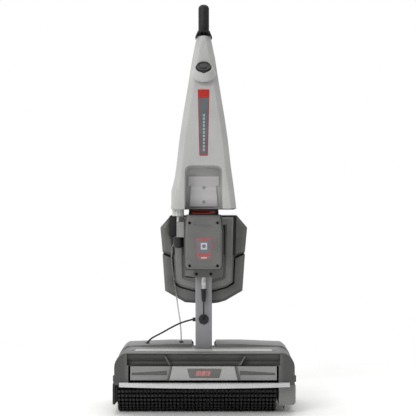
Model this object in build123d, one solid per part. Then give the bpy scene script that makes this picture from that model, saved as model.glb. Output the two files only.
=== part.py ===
from build123d import *
from math import acos, atan2, cos, degrees, pi, radians, sin, sqrt, tan
import os

# Upright twin-brush floor scrubber. Millimetres. X to the machine's left-right, -Y to its front, +Z up.
# The origin is on the floor below the middle of the post. The machine stands on its two brushes.
os.makedirs("parts", exist_ok=True)

# Driving dimensions: base
brush_radius = 55.0
brush_core_radius = 30.0
brush_left = -232.0
brush_right = 199.0
hood_left = -240.0
hood_right = 245.0
hood_front = -128.0
hood_top = 166.5
cap_inner_left = -201.0      # inner faces of the hood's two rounded ends
cap_inner_right = 202.0
cap_bottom = 80.0
cover_top = 173.0
cover_rear = 132.0
wall = 3.0
deck_top = 131.0
deck_thickness = 3.0
case_left = brush_right + 4.0
case_depth = 28.0
# Driving dimensions: column
pivot_z = 146.0
post_width = 46.0
post_depth = 30.0
post_wall = 2.5
post_top = 960.0
collar_bottom = 1034.0
overall_height = 1124.0
grip_radius = 15.0
tank_bottom = 552.0
tank_top = 1035.0
box_width = 108.0
box_bottom = 385.0
box_top = 537.0
box_front = -82.0
box_back = -20.0
dock_bottom = 284.0
dock_top = 424.0
pack_top = 535.0
pack_front = 24.0
pack_depth = 100.0
# Fits
running_fit = 0.06           # radial clearance of every turning or sliding fit
gap = 0.35                   # clearance between pieces that move past each other
shaft_radius = 6.0
module_size = 2.0


def save(shape, name):
    export_step(shape, "parts/" + name + ".step")


def block(x0, x1, y0, y1, z0, z1):
    return Pos((x0 + x1) / 2, (y0 + y1) / 2, (z0 + z1) / 2) * Box(x1 - x0, y1 - y0, z1 - z0)


def rod_x(x0, x1, y, z, radius):
    return Pos((x0 + x1) / 2, y, z) * Rot(0, 90, 0) * Cylinder(radius, x1 - x0)


def rod_y(y0, y1, x, z, radius):
    return Pos(x, (y0 + y1) / 2, z) * Rot(90, 0, 0) * Cylinder(radius, y1 - y0)


def rod_z(z0, z1, x, y, radius):
    return Pos(x, y, (z0 + z1) / 2) * Cylinder(radius, z1 - z0)


def cone_z(z0, z1, x, y, low_radius, high_radius):
    return Pos(x, y, (z0 + z1) / 2) * Cone(low_radius, high_radius, z1 - z0)


def front_profile(points, y0, y1):
    """A prism with an outline of (x, z) points, from y0 back to y1."""
    face = make_face(Polyline(*[(x, y0, z) for x, z in points], close=True))
    return extrude(face, amount=y1 - y0, dir=(0, 1, 0))


def side_profile(points, x0, x1):
    """A prism with an outline of (y, z) points, from x0 to x1."""
    face = make_face(Polyline(*[(x0, y, z) for y, z in points], close=True))
    return extrude(face, amount=x1 - x0, dir=(1, 0, 0))


def arc_tube(points, radius, name):
    """A cord's tube: straight runs joined by the largest tangent arcs that its runs allow."""
    runs = [Vector(*b) - Vector(*a) for a, b in zip(points, points[1:])]
    radii = []
    for before, after in zip(runs, runs[1:]):
        turn = radians(before.get_angle(after))
        radii.append(0.45 * min(before.length, after.length) / tan(turn / 2))
    print(name, "arc radii", [round(r, 1) for r in radii])
    with BuildLine() as route:
        FilletPolyline(*points, radius=radii)
    wire = route.wires()[0]
    ring = Plane(origin=wire @ 0, z_dir=wire % 0) * Circle(radius)
    tube = sweep(ring, path=wire)
    print(name, "volume share", round(tube.volume / (pi * radius ** 2 * wire.length), 4))
    return tube


def face_screw(x, y, z, head_radius, shank_radius, shank):
    """Screw: a flat head with a socket, facing -Y, on a plain shank that starts at y."""
    head = rod_y(y - 1.8, y, x, z, head_radius) - rod_y(y - 1.8, y - 0.8, x, z, head_radius * 0.45)
    return head + rod_y(y, y + shank, x, z, shank_radius)


# ---------------------------------------------------------------- base
def gear(teeth, phase, x0, x1, y, z, bore):
    """Spur gear along X with involute flanks. phase is the angle of one tooth, from +Y towards +Z."""
    pressure = radians(20)
    pitch_radius = module_size * teeth / 2
    base_radius = pitch_radius * cos(pressure)
    tip_radius = pitch_radius + module_size
    root_radius = pitch_radius - 1.25 * module_size
    backlash = 0.2
    half_tooth = pi / (2 * teeth) - backlash / (2 * pitch_radius) + tan(pressure) - pressure
    flank_steps = 4
    flank_start = max(base_radius, root_radius)
    outline = []
    for tooth in range(teeth):
        centre = radians(phase) + 2 * pi * tooth / teeth
        flank = []
        for step in range(flank_steps + 1):
            r = flank_start + (tip_radius - flank_start) * step / flank_steps
            a = acos(min(1.0, base_radius / r))
            flank.append((r, half_tooth - (tan(a) - a)))
        if root_radius < base_radius:
            flank.insert(0, (root_radius, flank[0][1]))
        outline += [(r * cos(centre - a), r * sin(centre - a)) for r, a in flank]
        outline += [(r * cos(centre + a), r * sin(centre + a)) for r, a in reversed(flank)]
    solid = side_profile([(y + p, z + q) for p, q in outline], x0, x1)
    return solid - rod_x(x0, x1, y, z, bore)


def mesh_phase(teeth_a, phase_a, teeth_b, angle):
    """Phase of gear b so that its gap meets gear a's tooth; angle points from a to b."""
    share = (phase_a - angle) / (360 / teeth_a)
    return angle + 180 - share * 360 / teeth_b + 180 / teeth_b


brush_teeth = 22
idler_teeth = 20
motor_idler_teeth = 28
pinion_teeth = 12
lift_teeth = 16
drum_teeth = 34
brush_z = brush_radius
idler_y = module_size * idler_teeth / 2                                  # the two idlers meet in the middle
brush_offset = idler_y + module_size * (brush_teeth + idler_teeth) / 2   # brush axis to the post's axis
idler_z = brush_z
motor_y = 98.0
motor_reach = module_size * (brush_teeth + pinion_teeth) / 2 + module_size * motor_idler_teeth
motor_z = brush_z + sqrt(motor_reach ** 2 - (motor_y - brush_offset) ** 2)
motor_angle = degrees(atan2(motor_z - brush_z, motor_y - brush_offset))
step_out = module_size * (brush_teeth + motor_idler_teeth) / 2
motor_idler_y = brush_offset + step_out * cos(radians(motor_angle))
motor_idler_z = brush_z + step_out * sin(radians(motor_angle))
drum_reach = module_size * (lift_teeth + drum_teeth) / 2
drum_z = idler_z + sqrt(drum_reach ** 2 - idler_y ** 2)
drum_radius = 21.0
gear_left = case_left + 4.0
gear_right = gear_left + 10.0
lift_left = gear_right + 1.0
lift_right = lift_left + 7.0
case_right = case_left + case_depth
tower_right = gear_right + 1.5

front_phase = 0.0
front_idler_phase = mesh_phase(brush_teeth, front_phase, idler_teeth, 0)
rear_idler_phase = mesh_phase(idler_teeth, front_idler_phase, idler_teeth, 0)
rear_phase = mesh_phase(idler_teeth, rear_idler_phase, brush_teeth, 0)
motor_idler_phase = mesh_phase(brush_teeth, rear_phase, motor_idler_teeth, motor_angle)
pinion_phase = mesh_phase(motor_idler_teeth, motor_idler_phase, pinion_teeth, motor_angle)
drum_angle = degrees(atan2(drum_z - idler_z, -idler_y))
drum_phase = mesh_phase(lift_teeth, 0, drum_teeth, drum_angle)

case_bottom = brush_z - 31.0
case_front = -118.0
case_rear = 122.0
case_wall = 3.0
gear_room = 3.5              # from a gear's tips to the outside of the case
tower_front = motor_idler_y - module_size * (motor_idler_teeth / 2 + 1) - 2 * case_wall
tower_top = motor_z + module_size * (pinion_teeth / 2 + 1) + gear_room
shoulder_z = drum_z + module_size * (drum_teeth / 2 + 1) + gear_room
shoulder_run = 32.0
tower_bottom = 60.0


tower_base = 100.0


def case_outline(inset):
    """The deep part of the case, which holds the brush, idler and drum gears."""
    low, high = case_front + inset, case_rear - inset
    return [(low, case_bottom + inset), (high, case_bottom + inset), (high, tower_base - inset),
            (tower_front + inset, shoulder_z - inset), (low + shoulder_run, shoulder_z - inset),
            (low, shoulder_z - shoulder_run - inset)]


def tower_outline(inset):
    """The shallow part of the case, which rises behind to the motor's pinion."""
    low, high = tower_front + inset, case_rear - inset
    return [(low, tower_bottom), (high, tower_bottom), (high, tower_top - inset), (low, tower_top - inset)]


shafts = {  # name: (y, z, bearing bore is shaft_radius for all)
    "front_brush": (-brush_offset, brush_z),
    "rear_brush": (brush_offset, brush_z),
    "front_idler": (-idler_y, idler_z),
    "rear_idler": (idler_y, idler_z),
    "motor_idler": (motor_idler_y, motor_idler_z),
    "drum": (0.0, drum_z),
}
bearing_radius = 10.0
bearing_width = 6.0

# Gear case: cast housing with a bearing seat for each shaft, open to the right
gear_case = side_profile(case_outline(0), case_left, case_right)
gear_case += side_profile(tower_outline(0), case_left, tower_right)
gear_case -= side_profile(case_outline(case_wall), case_left + case_wall, case_right)
gear_case -= side_profile(tower_outline(case_wall), case_left + case_wall, tower_right)
for y, z in shafts.values():
    gear_case -= rod_x(case_left, case_left + case_wall, y, z, bearing_radius)
gear_case -= rod_x(case_left, case_left + case_wall, motor_y, motor_z, bearing_radius + running_fit)
save(gear_case, "gear_case")

# Case lid: flat over the whole case, with a hollow bulge outwards over its lower part
bulge_top = 84.0
bulge_right = hood_right + 4.0
bulge_round = 11.0
bulge_rim, bulge_roof = 10.0, 6.0
lid_seat = 1.0               # left under each shaft hole in the lid
tower_lid_thickness = 2.0
lid = side_profile(case_outline(0), case_right, case_right + case_wall)
tower_lid = side_profile(tower_outline(0), tower_right, tower_right + tower_lid_thickness)
tower_lid -= side_profile(case_outline(0), tower_right, tower_right + tower_lid_thickness)
bulge = block(case_right + case_wall, bulge_right, case_front, case_rear, case_bottom, bulge_top)
bulge = fillet(bulge.edges().group_by(Axis.X)[-1], bulge_round)
hollow = block(case_right + case_wall, bulge_right - wall, case_front + bulge_rim, case_rear - bulge_rim,
               case_bottom + bulge_rim, bulge_top - bulge_roof)
gear_case_cover = lid + (bulge - hollow)
for y, z in shafts.values():
    gear_case_cover -= rod_x(case_right, case_right + case_wall - lid_seat, y, z, shaft_radius + running_fit)
save(Compound(children=[gear_case_cover, tower_lid]), "gear_case_cover")

# Bearings: identical bushes pressed into the case and the left end plate
plate_outer = hood_left - 5.0
plate_inner = hood_left + 1.0
bush_left_x = (brush_left - 4.6, brush_left - 1.2)
bushes = []
for y, z in shafts.values():
    bushes.append(rod_x(case_left, case_left + case_wall, y, z, bearing_radius)
                  - rod_x(case_left, case_left + case_wall, y, z, shaft_radius + running_fit))
left_shafts = [shafts["front_brush"], shafts["rear_brush"], shafts["drum"]]
for y, z in left_shafts:
    bushes.append(rod_x(*bush_left_x, y, z, bearing_radius)
                  - rod_x(*bush_left_x, y, z, shaft_radius + running_fit))
save(Compound(children=bushes), "bearing_bushes")

# Left end plate: outer plate below the hood's side and a step in to carry the deck
plate_top = 82.0
plate_round = 10.0
step_bottom = case_bottom + 6.0
left_end_plate = block(plate_outer, plate_inner, case_front, case_rear - 4, case_bottom, plate_top)
left_end_plate = fillet(left_end_plate.edges().filter_by(Axis.X), plate_round)
left_end_plate += block(plate_inner, bush_left_x[0], case_front + 12, case_rear - 10, step_bottom, plate_top)
left_end_plate += block(*bush_left_x, case_front + 12, case_rear - 6, step_bottom, deck_top - deck_thickness)
for y, z in left_shafts:
    left_end_plate -= rod_x(*bush_left_x, y, z, bearing_radius)
save(left_end_plate, "left_end_plate")

# Deck: pressed plate that joins the two ends and carries the hinge
deck_front = case_front + 14
deck_rear = tower_front - 2.0
deck = block(bush_left_x[0], case_left, deck_front, deck_rear, deck_top - deck_thickness, deck_top)
save(deck, "deck_plate")

# Rear crossmember: angle bar behind the rear brush
cross_y = 112.0
cross_high = brush_z + 53.0
cross_low = cross_high - 30.0
cross_thickness, cross_flange = 4.0, 10.0
cross_bar = block(bush_left_x[1], case_left, cross_y, cross_y + cross_thickness, cross_low, cross_high)
cross_bar += block(bush_left_x[1], case_left, cross_y - cross_flange, cross_y, cross_high - cross_thickness,
                   cross_high)
save(cross_bar, "rear_crossmember")

# Brushes: a tube core on an axle, with a bristle sleeve
axle_left = bush_left_x[0] + 0.2
axle_right = case_right + case_wall - 1.5
for side in ("front", "rear"):
    y, z = shafts[side + "_brush"]
    core = rod_x(brush_left, brush_right, y, z, brush_core_radius)
    core += rod_x(axle_left, brush_left, y, z, shaft_radius)
    core += rod_x(brush_right, axle_right, y, z, shaft_radius)
    phase = front_phase if side == "front" else rear_phase
    drive_gear = gear(brush_teeth, phase, gear_left, gear_right, y, z, shaft_radius)
    save(Compound(children=[core, drive_gear]), side + "_brush_core")
    bristles = rod_x(brush_left, brush_right, y, z, brush_radius)
    bristles -= rod_x(brush_left, brush_right, y, z, brush_core_radius)
    save(bristles, side + "_brush_bristles")

# Pickup drum between and above the brushes
drum = rod_x(brush_left, brush_right, 0, drum_z, drum_radius)
drum += rod_x(axle_left, brush_left, 0, drum_z, shaft_radius)
drum += rod_x(brush_right, axle_right, 0, drum_z, shaft_radius)
drum_gear = gear(drum_teeth, drum_phase, lift_left, lift_right, 0, drum_z, shaft_radius)
save(Compound(children=[drum, drum_gear]), "pickup_drum")

# Idler gears, each in one piece with its shaft
idler_bore = 1.0             # less than the shaft, so that gear and shaft are one solid
idler_shaft = (case_left + 0.5, axle_right)
front_idler = gear(idler_teeth, front_idler_phase, gear_left, gear_right, -idler_y, idler_z, idler_bore)
front_idler += rod_x(*idler_shaft, -idler_y, idler_z, shaft_radius)
save(front_idler, "front_idler_gear")
rear_idler = gear(idler_teeth, rear_idler_phase, gear_left, gear_right, idler_y, idler_z, idler_bore)
rear_idler += gear(lift_teeth, 0, gear_right, lift_right, idler_y, idler_z, idler_bore)
rear_idler += rod_x(*idler_shaft, idler_y, idler_z, shaft_radius)
save(rear_idler, "rear_idler_gear")
motor_idler = gear(motor_idler_teeth, motor_idler_phase, gear_left, gear_right, motor_idler_y, motor_idler_z,
                   idler_bore)
motor_idler += rod_x(*idler_shaft, motor_idler_y, motor_idler_z, shaft_radius)
save(motor_idler, "motor_idler_gear")

# Motor: round can flanged to the case, with a pinion on its shaft
motor_radius = 25.0
motor_left = 62.0
motor_shaft_radius = 5.0
motor_bore, motor_recess = 40.0, 8.0
pinion_shaft = motor_bore - 2.0
motor = rod_x(motor_left, case_left, motor_y, motor_z, motor_radius)
motor = fillet(motor.edges().filter_by(GeomType.CIRCLE).group_by(Axis.X)[0], 4)
motor -= rod_x(case_left - motor_bore, case_left, motor_y, motor_z, motor_shaft_radius + running_fit)
motor -= rod_x(case_left - motor_recess, case_left, motor_y, motor_z, bearing_radius + running_fit + 1)
save(motor, "brush_motor")
pinion = gear(pinion_teeth, pinion_phase, gear_left, gear_right, motor_y, motor_z, idler_bore)
pinion += rod_x(case_left - pinion_shaft, gear_right + 1, motor_y, motor_z, motor_shaft_radius)
save(pinion, "motor_pinion")

# Recovery tray: pan over the front brush with a panel hanging in front of it
tray_half = 196.0
pan_front, pan_rear = -124.0, -27.0
pan_bottom, pan_top = 112.5, 126.5
panel_front, panel_back = -140.0, -130.5
panel_bottom, panel_top = 94.0, 131.0
centre_top, centre_low = 83.0, 91.5
pan = block(-tray_half, tray_half, panel_back, pan_rear, pan_bottom, pan_top)
pan -= block(-tray_half + wall, tray_half - wall, pan_front, pan_rear - wall, pan_bottom + wall, pan_top)
wing_front = panel_front + 5
wing = block(-tray_half, tray_half, wing_front, panel_back, panel_bottom, panel_top)
groove_in, groove_out, groove_depth = 97.0, 192.0, 2.5
groove_low, groove_tip, groove_high = 107.5, 113.5, 119.5
for s in (-1, 1):  # a finger groove across each wing, higher towards the middle
    groove = front_profile([(s * groove_in, groove_low), (s * groove_in, groove_high), (s * groove_out, groove_tip),
                            (s * groove_out, groove_low)], wing_front, wing_front + groove_depth)
    wing -= groove
centre = front_profile([(-centre_low, panel_bottom), (centre_low, panel_bottom), (centre_top, panel_top),
                        (-centre_top, panel_top)], panel_front, wing_front)
centre = fillet(centre.edges().group_by(Axis.Y)[0], 2)
recovery_tray = pan + wing + centre
save(recovery_tray, "recovery_tray")

# Two dark ribs beside the centre panel
rib_gap, rib_width = 0.5, 5.0
ribs = []
for s in (-1, 1):
    low_in, low_out = s * (centre_low + rib_gap), s * (centre_low + rib_gap + rib_width)
    top_in, top_out = s * (centre_top + rib_gap), s * (centre_top + rib_gap + rib_width)
    rib = front_profile([(low_in, panel_bottom), (low_out, panel_bottom), (top_out, panel_top), (top_in, panel_top)],
                        panel_front + 1, wing_front)
    ribs.append(rib)
save(Compound(children=ribs), "tray_ribs")


# Hood: moulded shell with rounded ends, open in front for the tray and notched for the post
cap_shoulder = 138.0         # where the rounded ends start to curve in
hood_round = 12.0


def hood_outline(inset):
    left, right, top = hood_left + inset, hood_right - inset, hood_top - inset
    return [(left, cap_bottom), (left, cap_shoulder - inset / 2), (left + 7, top - 12.5), (left + 19, top - 3.5),
            (left + 38, top), (right - 38, top), (right - 20, top - 3.5), (right - 8, top - 12.5),
            (right, cap_shoulder - inset / 2), (right, cap_bottom)]


hood_rear = 4.0
slot_half = post_width / 2 + 6.0
window_top = panel_top + 1.0
hood = front_profile(hood_outline(0), hood_front, hood_rear)
hood = fillet(hood.edges().filter_by(Axis.X).sort_by(Axis.Y).group_by(Axis.Z)[-1].sort_by(Axis.Y)[0], hood_round)
hood -= front_profile(hood_outline(wall), hood_front + wall, hood_rear)
hood -= block(cap_inner_left, cap_inner_right, hood_front, hood_front + wall + 1, cap_bottom, window_top)
hood -= block(hood_left, hood_left + wall, case_front - 1, hood_rear, cap_bottom, plate_top + 3)
hood -= block(hood_right - wall, hood_right, case_front - 1, hood_rear, cap_bottom, bulge_top + 2)
hood -= block(-slot_half, slot_half, -post_depth / 2 - 5, hood_rear, deck_top, hood_top)

# Trim strip along the hood's top, with a screw beyond each end
trim_half = 186.0
trim_front, trim_rear, trim_thickness = -104.0, -58.0, 1.5
trim_screw_x, trim_screw_y, trim_screw_radius = trim_half + 10.0, -80.0, 3.2
trim = block(-trim_half, trim_half, trim_front, trim_rear, hood_top, hood_top + trim_thickness)
trim = fillet(trim.edges().filter_by(Axis.Z), 4)
save(trim, "top_trim")
trim_screws = [rod_z(hood_top - wall, hood_top + trim_thickness + 0.1, x, trim_screw_y, trim_screw_radius)
               for x in (-trim_screw_x, trim_screw_x)]
hood -= trim_screws[0]
hood -= trim_screws[1]

# Side knobs: quarter-turn locks through the hood's ends
knob_radius, knob_thick, wing_thick = 9.5, 2.4, 1.25
knob_y, knob_z = -119.0, 96.0
knob_shaft = 4.0
knob_wing_width, knob_wing_height = 4.0, 16.0
for name, face, out in (("left", hood_left, -1), ("right", hood_right, 1)):
    near, far = sorted((face + out * gap, face + out * (gap + knob_thick)))
    knob = rod_x(near, far, knob_y, knob_z, knob_radius)
    knob = fillet(knob.edges().filter_by(GeomType.CIRCLE).group_by(Axis.X)[0 if out < 0 else -1], 1.0)
    wing_near, wing_far = sorted((face + out * (gap + knob_thick), face + out * (gap + knob_thick + wing_thick)))
    knob += block(wing_near, wing_far, knob_y - knob_wing_width / 2, knob_y + knob_wing_width / 2,
                  knob_z - knob_wing_height / 2, knob_z + knob_wing_height / 2)
    in_near, in_far = sorted((face + out * gap, face - out * (wall + 4)))
    knob += rod_x(in_near, in_far, knob_y, knob_z, knob_shaft)
    hood -= rod_x(min(face, face - out * wall), max(face, face - out * wall), knob_y, knob_z,
                  knob_shaft + running_fit)
    save(knob, name + "_side_knob")
save(hood, "hood")

# Bumper: flat bar with a straight back and a bowed front, screwed to the hood's two ends
bumper_left, bumper_right = hood_left + 14.0, hood_right - 14.0
bumper_low, bumper_high = 76.0, 87.0
bumper_depth = 10.0
bumper_bow = 24.0
bumper_face = hood_front - bumper_depth
with BuildSketch(Plane.XY.offset(bumper_low)) as bumper_plan:
    with BuildLine():
        Polyline((bumper_left, bumper_face), (bumper_left, hood_front), (bumper_right, hood_front),
                 (bumper_right, bumper_face))
        ThreePointArc((bumper_left, bumper_face), (0, bumper_face - bumper_bow), (bumper_right, bumper_face))
    make_face()
bumper = extrude(bumper_plan.sketch, amount=bumper_high - bumper_low)
bumper -= block(cap_inner_left, cap_inner_right, bumper_face + 2, hood_front, bumper_low, bumper_high)
save(bumper, "bumper")

# Levelling bolt under the gear case
bolt_x, bolt_y = 223.0, -60.0
bolt_low, bolt_head_top, bolt_head, bolt_shank = 4.5, 10.0, 5.0, 3.0
level_bolt = rod_z(bolt_low, bolt_head_top, bolt_x, bolt_y, bolt_head)
level_bolt += rod_z(bolt_head_top, case_bottom, bolt_x, bolt_y, bolt_shank)
save(Compound(children=[*trim_screws, level_bolt]), "base_screws")

# Rear cover: two raised lobes with a well between them for the post to tilt into
cover_front = hood_rear + 0.5


def cover_half(inset):
    """Outline of the rear cover: its ends match the hood's, and its two lobes rise a little above it."""
    left, right, low = hood_left + inset, hood_right - inset, 100 - 3 * inset
    rise = [(7, cover_top - 19), (24, cover_top - 8), (44, cover_top - 6.5), (90, cover_top - 4.5),
            (140, cover_top - 1.5), (196, cover_top)]
    return ([(left, low), (left, cap_shoulder - inset / 2)] + [(left + x, z - inset) for x, z in rise]
            + [(right - x, z - inset) for x, z in reversed(rise)] + [(right, cap_shoulder - inset / 2), (right, low)])


cover = front_profile(cover_half(0), cover_front, cover_rear)
cover = cover & side_profile([(cover_front, 90), (cover_front, 190), (cover_rear - 20, 190), (cover_rear - 2, 150),
                              (cover_rear, 128), (cover_rear, 90)], -260, 260)
inner = front_profile(cover_half(wall), cover_front, cover_rear - wall)
inner = inner & side_profile([(cover_front, 80), (cover_front, 190), (cover_rear - 23, 190), (cover_rear - 5, 149.5),
                              (cover_rear - 3, 127.5), (cover_rear - 3, 80)], -260, 260)
well_start, well_end = 18.0, 98.0
well_outer = side_profile([(cover_front, 133), (well_start, 131.5), (well_start + 24, 134), (well_end + 2.5, 158),
                           (well_end + 2.5, 200), (cover_front, 200)], -slot_half - 11, slot_half + 11)
well_inner = side_profile([(cover_front, 120), (well_start, 120), (well_start, 134), (well_start + 22, 136.5),
                           (well_end, 160), (well_end, 200), (cover_front, 200)], -slot_half, slot_half)
rear_cover = (cover - inner) + (cover & well_outer) - well_inner
notch = front_profile([(-slot_half - 8, cover_top + 1), (-slot_half, 162), (slot_half, 162),
                       (slot_half + 8, cover_top + 1)], cover_front, cover_rear)
rear_cover -= notch
hose_x, hose_y = -64.0, 44.0
cable_x, cable_y = -160.0, 44.0
grommet_radius = 6.0
for x, y in ((hose_x, hose_y), (cable_x, cable_y)):
    rear_cover -= rod_z(155, cover_top + 2, x, y, grommet_radius)
save(rear_cover, "rear_cover")
grommet_low, grommet_high = 161.0, 177.0
hose_radius, cable_radius = 2.0, 2.4
cord_room = 1.2
grommets = [rod_z(grommet_low, grommet_high, hose_x, hose_y, grommet_radius)
            - rod_z(grommet_low, grommet_high, hose_x, hose_y, hose_radius + cord_room),
            rod_z(grommet_low - 4, grommet_high - 4, cable_x, cable_y, grommet_radius)
            - rod_z(grommet_low - 4, grommet_high - 4, cable_x, cable_y, cable_radius + cord_room)]
save(Compound(children=grommets), "cover_grommets")

# Spray bar behind the drum, with nozzles down to the rear brush
spray_y, spray_z, spray_radius = 34.0, 121.0, 4.0
nozzle_count, nozzle_first, nozzle_pitch = 9, -200.0, 48.0
nozzle_drop, nozzle_radius = 7.0, 1.6
spray = rod_x(bush_left_x[1], case_left, spray_y, spray_z, spray_radius)
for n in range(nozzle_count):
    spray += rod_z(spray_z - nozzle_drop, spray_z, nozzle_first + n * nozzle_pitch, spray_y, nozzle_radius)
save(spray, "spray_bar")

# Tilt hinge: fork on the deck, lug in the post's foot, and a pin
pin_radius = 6.0
lug_radius = 12.5
lug_half = post_width / 2 - post_wall
cheek_in = post_width / 2 + gap
cheek_out = cheek_in + 5.0
cheek_radius = 13.0
fork_half_depth, fork_base = 16.0, 1.5
lug_rise = 50.0
fork = block(-cheek_out, cheek_out, -fork_half_depth, fork_half_depth, deck_top, deck_top + fork_base)
for s in (-1, 1):
    low, high = sorted((s * cheek_in, s * cheek_out))
    cheek = block(low, high, -cheek_radius, cheek_radius, deck_top, pivot_z)
    cheek += rod_x(low, high, 0, pivot_z, cheek_radius)
    fork += cheek - rod_x(low, high, 0, pivot_z, pin_radius)
pin = rod_x(-cheek_out - 0.5, cheek_out + 0.5, 0, pivot_z, pin_radius)
save(Compound(children=[fork, pin]), "hinge_fork_and_pin")
post_foot = pivot_z + 6.5
lug = rod_x(-lug_half, lug_half, 0, pivot_z, lug_radius)
lug += block(-lug_half, lug_half, -post_depth / 2 + post_wall, post_depth / 2 - post_wall, pivot_z,
             pivot_z + lug_rise)
lug -= rod_x(-lug_half, lug_half, 0, pivot_z, pin_radius + running_fit)
save(lug, "post_foot_lug")

# Transport wheels behind the rear brush, held by brackets on the crossmember
wheel_radius, wheel_width, wheel_hub = 26.0, 22.0, 16.5
wheel_y, wheel_z = 146.0, 31.0
axle_radius = 5.0
bracket_parts = []
wheel_x = 160.0
arm_thickness, arm_clearance = 4.0, 2.0
arm_low, arm_high, arm_tip = cross_low + 4.0, cross_high - 12.0, 9.0
arm_front = cross_y + cross_thickness
for name, x in (("left", -wheel_x), ("right", wheel_x)):
    inside, outside = x - wheel_width / 2 - arm_clearance, x + wheel_width / 2 + arm_clearance
    bracket = block(inside - arm_thickness, outside + arm_thickness, arm_front, arm_front + arm_thickness,
                    arm_low, arm_high)
    for arm in (inside - arm_thickness, outside):
        bracket += side_profile([(arm_front, arm_low), (arm_front, arm_high), (wheel_y - 10, arm_high - 6),
                                 (wheel_y + arm_tip, wheel_z), (wheel_y, wheel_z - arm_tip),
                                 (wheel_y - arm_tip, wheel_z), (wheel_y - 16, arm_low - 8)],
                                arm, arm + arm_thickness)
    bracket -= rod_x(inside - arm_thickness, outside + arm_thickness, wheel_y, wheel_z, axle_radius)
    bracket_parts.append(bracket)
    bracket_parts.append(rod_x(inside - arm_thickness - 1, outside + arm_thickness + 1, wheel_y, wheel_z,
                               axle_radius))
    middle = rod_x(x - wheel_width / 2, x + wheel_width / 2, wheel_y, wheel_z, wheel_hub)
    middle -= rod_x(inside, outside, wheel_y, wheel_z, axle_radius + running_fit)
    tyre = rod_x(x - wheel_width / 2, x + wheel_width / 2, wheel_y, wheel_z, wheel_radius)
    tyre = fillet(tyre.edges().filter_by(GeomType.CIRCLE), 4)
    tyre -= rod_x(inside, outside, wheel_y, wheel_z, wheel_hub)
    save(Compound(children=[middle, tyre]), name + "_transport_wheel")
save(Compound(children=bracket_parts), "wheel_brackets")

# ---------------------------------------------------------------- column
# Post: rectangular steel tube from the hinge to the collar
half_depth = post_depth / 2
post = block(-post_width / 2, post_width / 2, -half_depth, half_depth, post_foot, post_top)
post = fillet(post.edges().filter_by(Axis.Z), 4)
post += rod_z(post_top, collar_bottom + 4, 0, 0, grip_radius - 1)
bore = block(-post_width / 2 + post_wall, post_width / 2 - post_wall, -half_depth + post_wall,
             half_depth - post_wall, post_foot, post_top)
post -= bore
plug_z, plug_radius = 245.0, 12.0
gland_z, gland_radius = 243.0, 4.5
post -= rod_y(-half_depth, -half_depth + post_wall, 0, plug_z, plug_radius - 2)
post -= rod_x(-post_width / 2, -post_width / 2 + post_wall, 0, gland_z, gland_radius)
save(post, "post")

# Grommet on the post's front for the control cable, and a gland on its left side for the motor cable
control_radius = 2.2
plug = rod_y(-half_depth - 4, -half_depth, 0, plug_z, plug_radius + 2)
plug = fillet(plug.edges().filter_by(GeomType.CIRCLE).group_by(Axis.Y)[0], 2)
plug += rod_y(-half_depth, -half_depth + post_wall, 0, plug_z, plug_radius - 2)
gland_out = 8.0
gland = rod_x(-post_width / 2 - gland_out, -post_width / 2, 0, gland_z, gland_radius + 1)
gland += rod_x(-post_width / 2, -post_width / 2 + post_wall, 0, gland_z, gland_radius)
save(Compound(children=[plug, gland]), "post_grommets")

# Collar, grip and the grip's round button, whose face is flush with the grip
collar_low = Pos(0, -12, collar_bottom) * RectangleRounded(47, 70, 22)
collar_high = Pos(0, -4, collar_bottom + 13) * RectangleRounded(39, 46, 19)
collar = loft([collar_low, collar_high])
collar -= rod_z(collar_bottom, collar_bottom + 4, 0, 0, grip_radius - 1)
save(collar, "collar")
grip_bottom = collar_bottom + 13
grip = rod_z(grip_bottom, overall_height, 0, 0, grip_radius)
grip = fillet(grip.edges().filter_by(GeomType.CIRCLE).group_by(Axis.Z)[-1], 12)
button_z, button_radius, button_travel = 1058.0, 4.5, 2.0
grip -= rod_y(-grip_radius, -grip_radius + 6, 0, button_z, button_radius + gap)
save(grip, "grip")
button_face = sqrt(grip_radius ** 2 - button_radius ** 2) - gap
button = rod_y(-button_face, -grip_radius + 3.5, 0, button_z, button_radius)
save(fillet(button.edges().filter_by(GeomType.CIRCLE).group_by(Axis.Y)[0], 0.5), "grip_button")

# Water tank: tapered hollow moulding in front of the post, with an arched recess for its mounting plates
tank_back = -half_depth - 1.5
tank_side = [(552, 89), (667, 74.5), (745, 66), (801, 58), (885, 44.5), (969, 31), (1031, 19)]
tank_front_low, tank_front_high = -104.0, -43.0
tank_wall = 3.0


def tank_form(inset):
    right = [(half - inset, z) for z, half in tank_side]
    right[0] = (right[0][0], tank_bottom + inset)
    right[-1] = (right[-1][0], tank_top - 4 - inset)
    outline = right + [(-x, z) for x, z in reversed(right)]
    form = front_profile(outline, tank_front_low - 5, tank_back - inset)
    side = side_profile([(tank_back - inset, tank_bottom - 5), (tank_front_low + inset, tank_bottom - 5),
                         (tank_front_low + inset, tank_bottom + 60), (tank_front_high + inset, tank_top),
                         (tank_back - inset, tank_top)], -100, 100)
    return form & side


recess_half, recess_top, recess_back = 44.0, 663.0, -46.0


def recess_form(outset):
    half = recess_half + outset
    top = recess_top + outset
    return front_profile([(-half, tank_bottom - 10), (half, tank_bottom - 10), (half, top - 25), (half - 18, top),
                          (-half + 18, top), (-half, top - 25)], tank_front_low - 10, recess_back + outset)


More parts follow.
